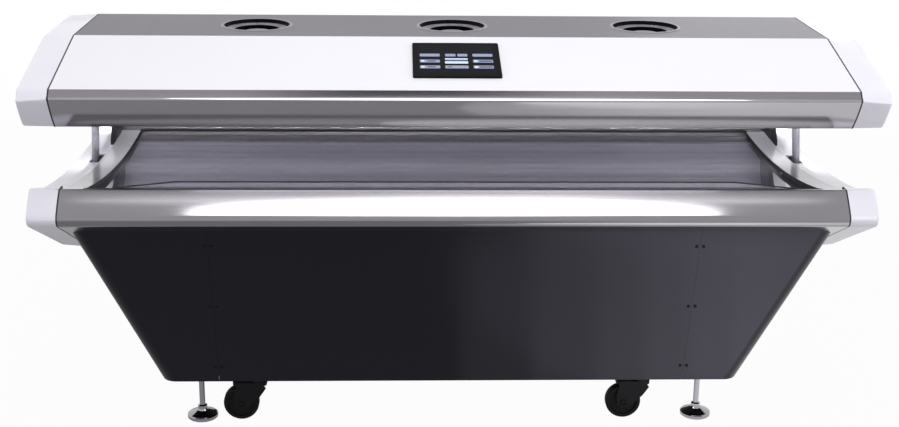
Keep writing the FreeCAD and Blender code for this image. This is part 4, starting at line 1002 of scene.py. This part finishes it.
thinned = add_node(tree, "ShaderNodeMixShader", {
    0: sheer.outputs["Result"], 1: shade.outputs["BSDF"], 2: gap.outputs["BSDF"],
})
add_node(tree, "ShaderNodeOutputMaterial", {"Surface": thinned.outputs["Shader"]})
flag.data.materials.append(cloth)
flag.visible_camera = False
flag.visible_diffuse = False
flag.visible_shadow = False

world = bpy.data.worlds.new("white_studio")
bpy.context.scene.world = world
world.use_nodes = True
tree = world.node_tree
tree.nodes.clear()
soft_fill = add_node(tree, "ShaderNodeBackground", {"Color": linear("#F4F3FA"), "Strength": 0.6})
white = add_node(tree, "ShaderNodeBackground", {"Color": linear("#FFFFFF"), "Strength": 1.0})
sky = add_node(tree, "ShaderNodeMixShader", {
    0: shown_share(tree), 1: soft_fill.outputs["Background"], 2: white.outputs["Background"],
})
add_node(tree, "ShaderNodeOutputWorld", {"Surface": sky.outputs["Shader"]})


def add_softbox(name, spot, target, size, power, spread=180, shape="RECTANGLE"):
    """A soft lamp of a width and height, turned to a target and hidden from the camera."""
    lamp = bpy.data.lights.new(name, "AREA")
    lamp.spread = math.radians(spread)
    lamp.shape = shape
    lamp.size, lamp.size_y = size
    lamp.energy = power
    holder = bpy.data.objects.new(name, lamp)
    holder.location = spot
    holder.rotation_euler = (Vector(target) - Vector(spot)).to_track_quat("-Z", "Y").to_euler()
    holder.visible_camera = False
    bpy.context.scene.collection.objects.link(holder)
    return holder


def add_fill(*lamp):
    """A softbox that lights the object and doesn't show in its gloss."""
    add_softbox(*lamp).visible_glossy = False


def add_gloss(*lamp, shape="ELLIPSE"):
    """A softbox that shows only in gloss. A round outline gives its reflection soft ends."""
    add_softbox(*lamp, shape=shape).visible_diffuse = False


# Lamps that light the object, the last two by narrow beams into the gap under the canopy
GAP_SIZE = (2.25, 0.05)
GAP_SPREAD = 3
add_fill("overhead_softbox", (0.2, -1.2, 3.2), (0, -0.1, 0.9), (2.4, 1.2), 30)
add_softbox("right_softbox", (2.9, -2.0, 1.3), (0.6, 0, 0.85), (1.4, 1.4), 18)
add_softbox("left_softbox", (-2.7, -2.5, 0.9), (-0.8, 0, 0.85), (1.2, 1.2), 9)
add_softbox("rear_softbox", (1.7, 3.0, 1.7), (0.4, 0, 0.9), (1.4, 0.9), 4)
for side_name, sign, power in (("right", 1, 6), ("left", -1, 8)):
    add_fill(f"{side_name}_end_softbox", (2.9 * sign, 0.15, 1.75), (1.05 * sign, 0, 0.72), (1.0, 1.0), power)
    add_fill(f"rear_{side_name}_softbox", (2.4 * sign, 2.2, 1.6), (0.8 * sign, 0, 0.72), (1.2, 1.2), 12)
add_fill("front_gap_softbox", (0, -2.6, 1.15), (0, 0.32, 0.70), GAP_SIZE, 1.8, GAP_SPREAD)
add_fill("rear_gap_softbox", (0, 2.3, 1.6), (0, -0.1, 0.60), GAP_SIZE, 1.0, GAP_SPREAD)

# Lamps that show only in gloss: the long highlights on the front rails
STRIP_X = 0.015
add_gloss("gloss_strip", (STRIP_X, -0.71, 1.1575), (STRIP_X, -0.395, 0.9775), (1.57, 0.363), 8)
add_gloss("long_gloss_strip", (STRIP_X, -0.655, 1.32), (STRIP_X, -0.48, 0.72), (2.3, 0.09), 0.9)
# Low cards at the right, which brighten that end of the rails and of the skirt in steps
RAIL_CARD_X = 1.4
RAIL_CARD_Y = -0.75
SKIRT_CARD_X = 1.5
SKIRT_CARD_STEP = 0.002
SKIRT_CARD_SPREAD = 52
for i, (width, power) in enumerate(((2.7, 2.4), (1.6, 1.8))):
    add_gloss(f"rail_card_{i + 1}", (RAIL_CARD_X, RAIL_CARD_Y, 0.03), (RAIL_CARD_X, RAIL_CARD_Y, 1.0),
              (width, 1.2), power)
for i, (width, power) in enumerate((
    (2.94, 0.155), (2.52, 0.166), (2.14, 0.16), (1.86, 0.18), (1.6, 0.176), (1.34, 0.153),
)):
    behind = SKIRT_CARD_STEP * i
    add_gloss(f"skirt_card_{i + 1}", (SKIRT_CARD_X, -0.535 - behind, 0.138),
              (SKIRT_CARD_X, 0.08 - behind, 0.927), (width, 0.44), power, SKIRT_CARD_SPREAD,
              shape="RECTANGLE")
# A card for the line along the foot of the base's rail, and strips for the foot of the canopy's rail
LINE_CARD_X = 1.15
LINE_CARD_SPREAD = 46
FOOT_STRIP_Y = -0.45
add_gloss("line_card", (LINE_CARD_X, -0.795, 0.255), (LINE_CARD_X, -0.505, 0.665), (1.9, 0.2), 0.15,
          LINE_CARD_SPREAD)
for i, (middle, width, power) in enumerate(((0, 2.0, 0.063), (0.45, 1.3, 0.075), (0.62, 0.9, 0.062))):
    add_gloss(f"foot_strip_{i + 1}", (middle, FOOT_STRIP_Y, 0.765), (middle, FOOT_STRIP_Y, 1.0),
              (width, 0.05), power)

# The camera, fitted to the corners of the object in the photograph
FOCAL_PIXELS = 1422.0
FRAME_WIDTH = 899.0
PITCH = math.radians(17.646)
YAW = math.radians(2.223)
ROLL = math.radians(-0.681)
CAMERA_SPOT = (-0.1545, -3.9604, 1.7959)
forward = Vector((math.sin(YAW) * math.cos(PITCH), math.cos(YAW) * math.cos(PITCH), -math.sin(PITCH)))
level = Vector((math.cos(YAW), -math.sin(YAW), 0))
down = forward.cross(level)
right = level * math.cos(ROLL) + down * math.sin(ROLL)
below = down * math.cos(ROLL) - level * math.sin(ROLL)
lens = bpy.data.cameras.new("photo_camera")
lens.sensor_width = 36.0
lens.lens = FOCAL_PIXELS * lens.sensor_width / FRAME_WIDTH
camera = bpy.data.objects.new("photo_camera", lens)
columns = Matrix((right, -below, -forward)).transposed().to_4x4()
camera.matrix_world = Matrix.Translation(CAMERA_SPOT) @ columns
bpy.context.scene.collection.objects.link(camera)
bpy.context.scene.camera = camera
bpy.context.scene.view_settings.view_transform = "Standard"
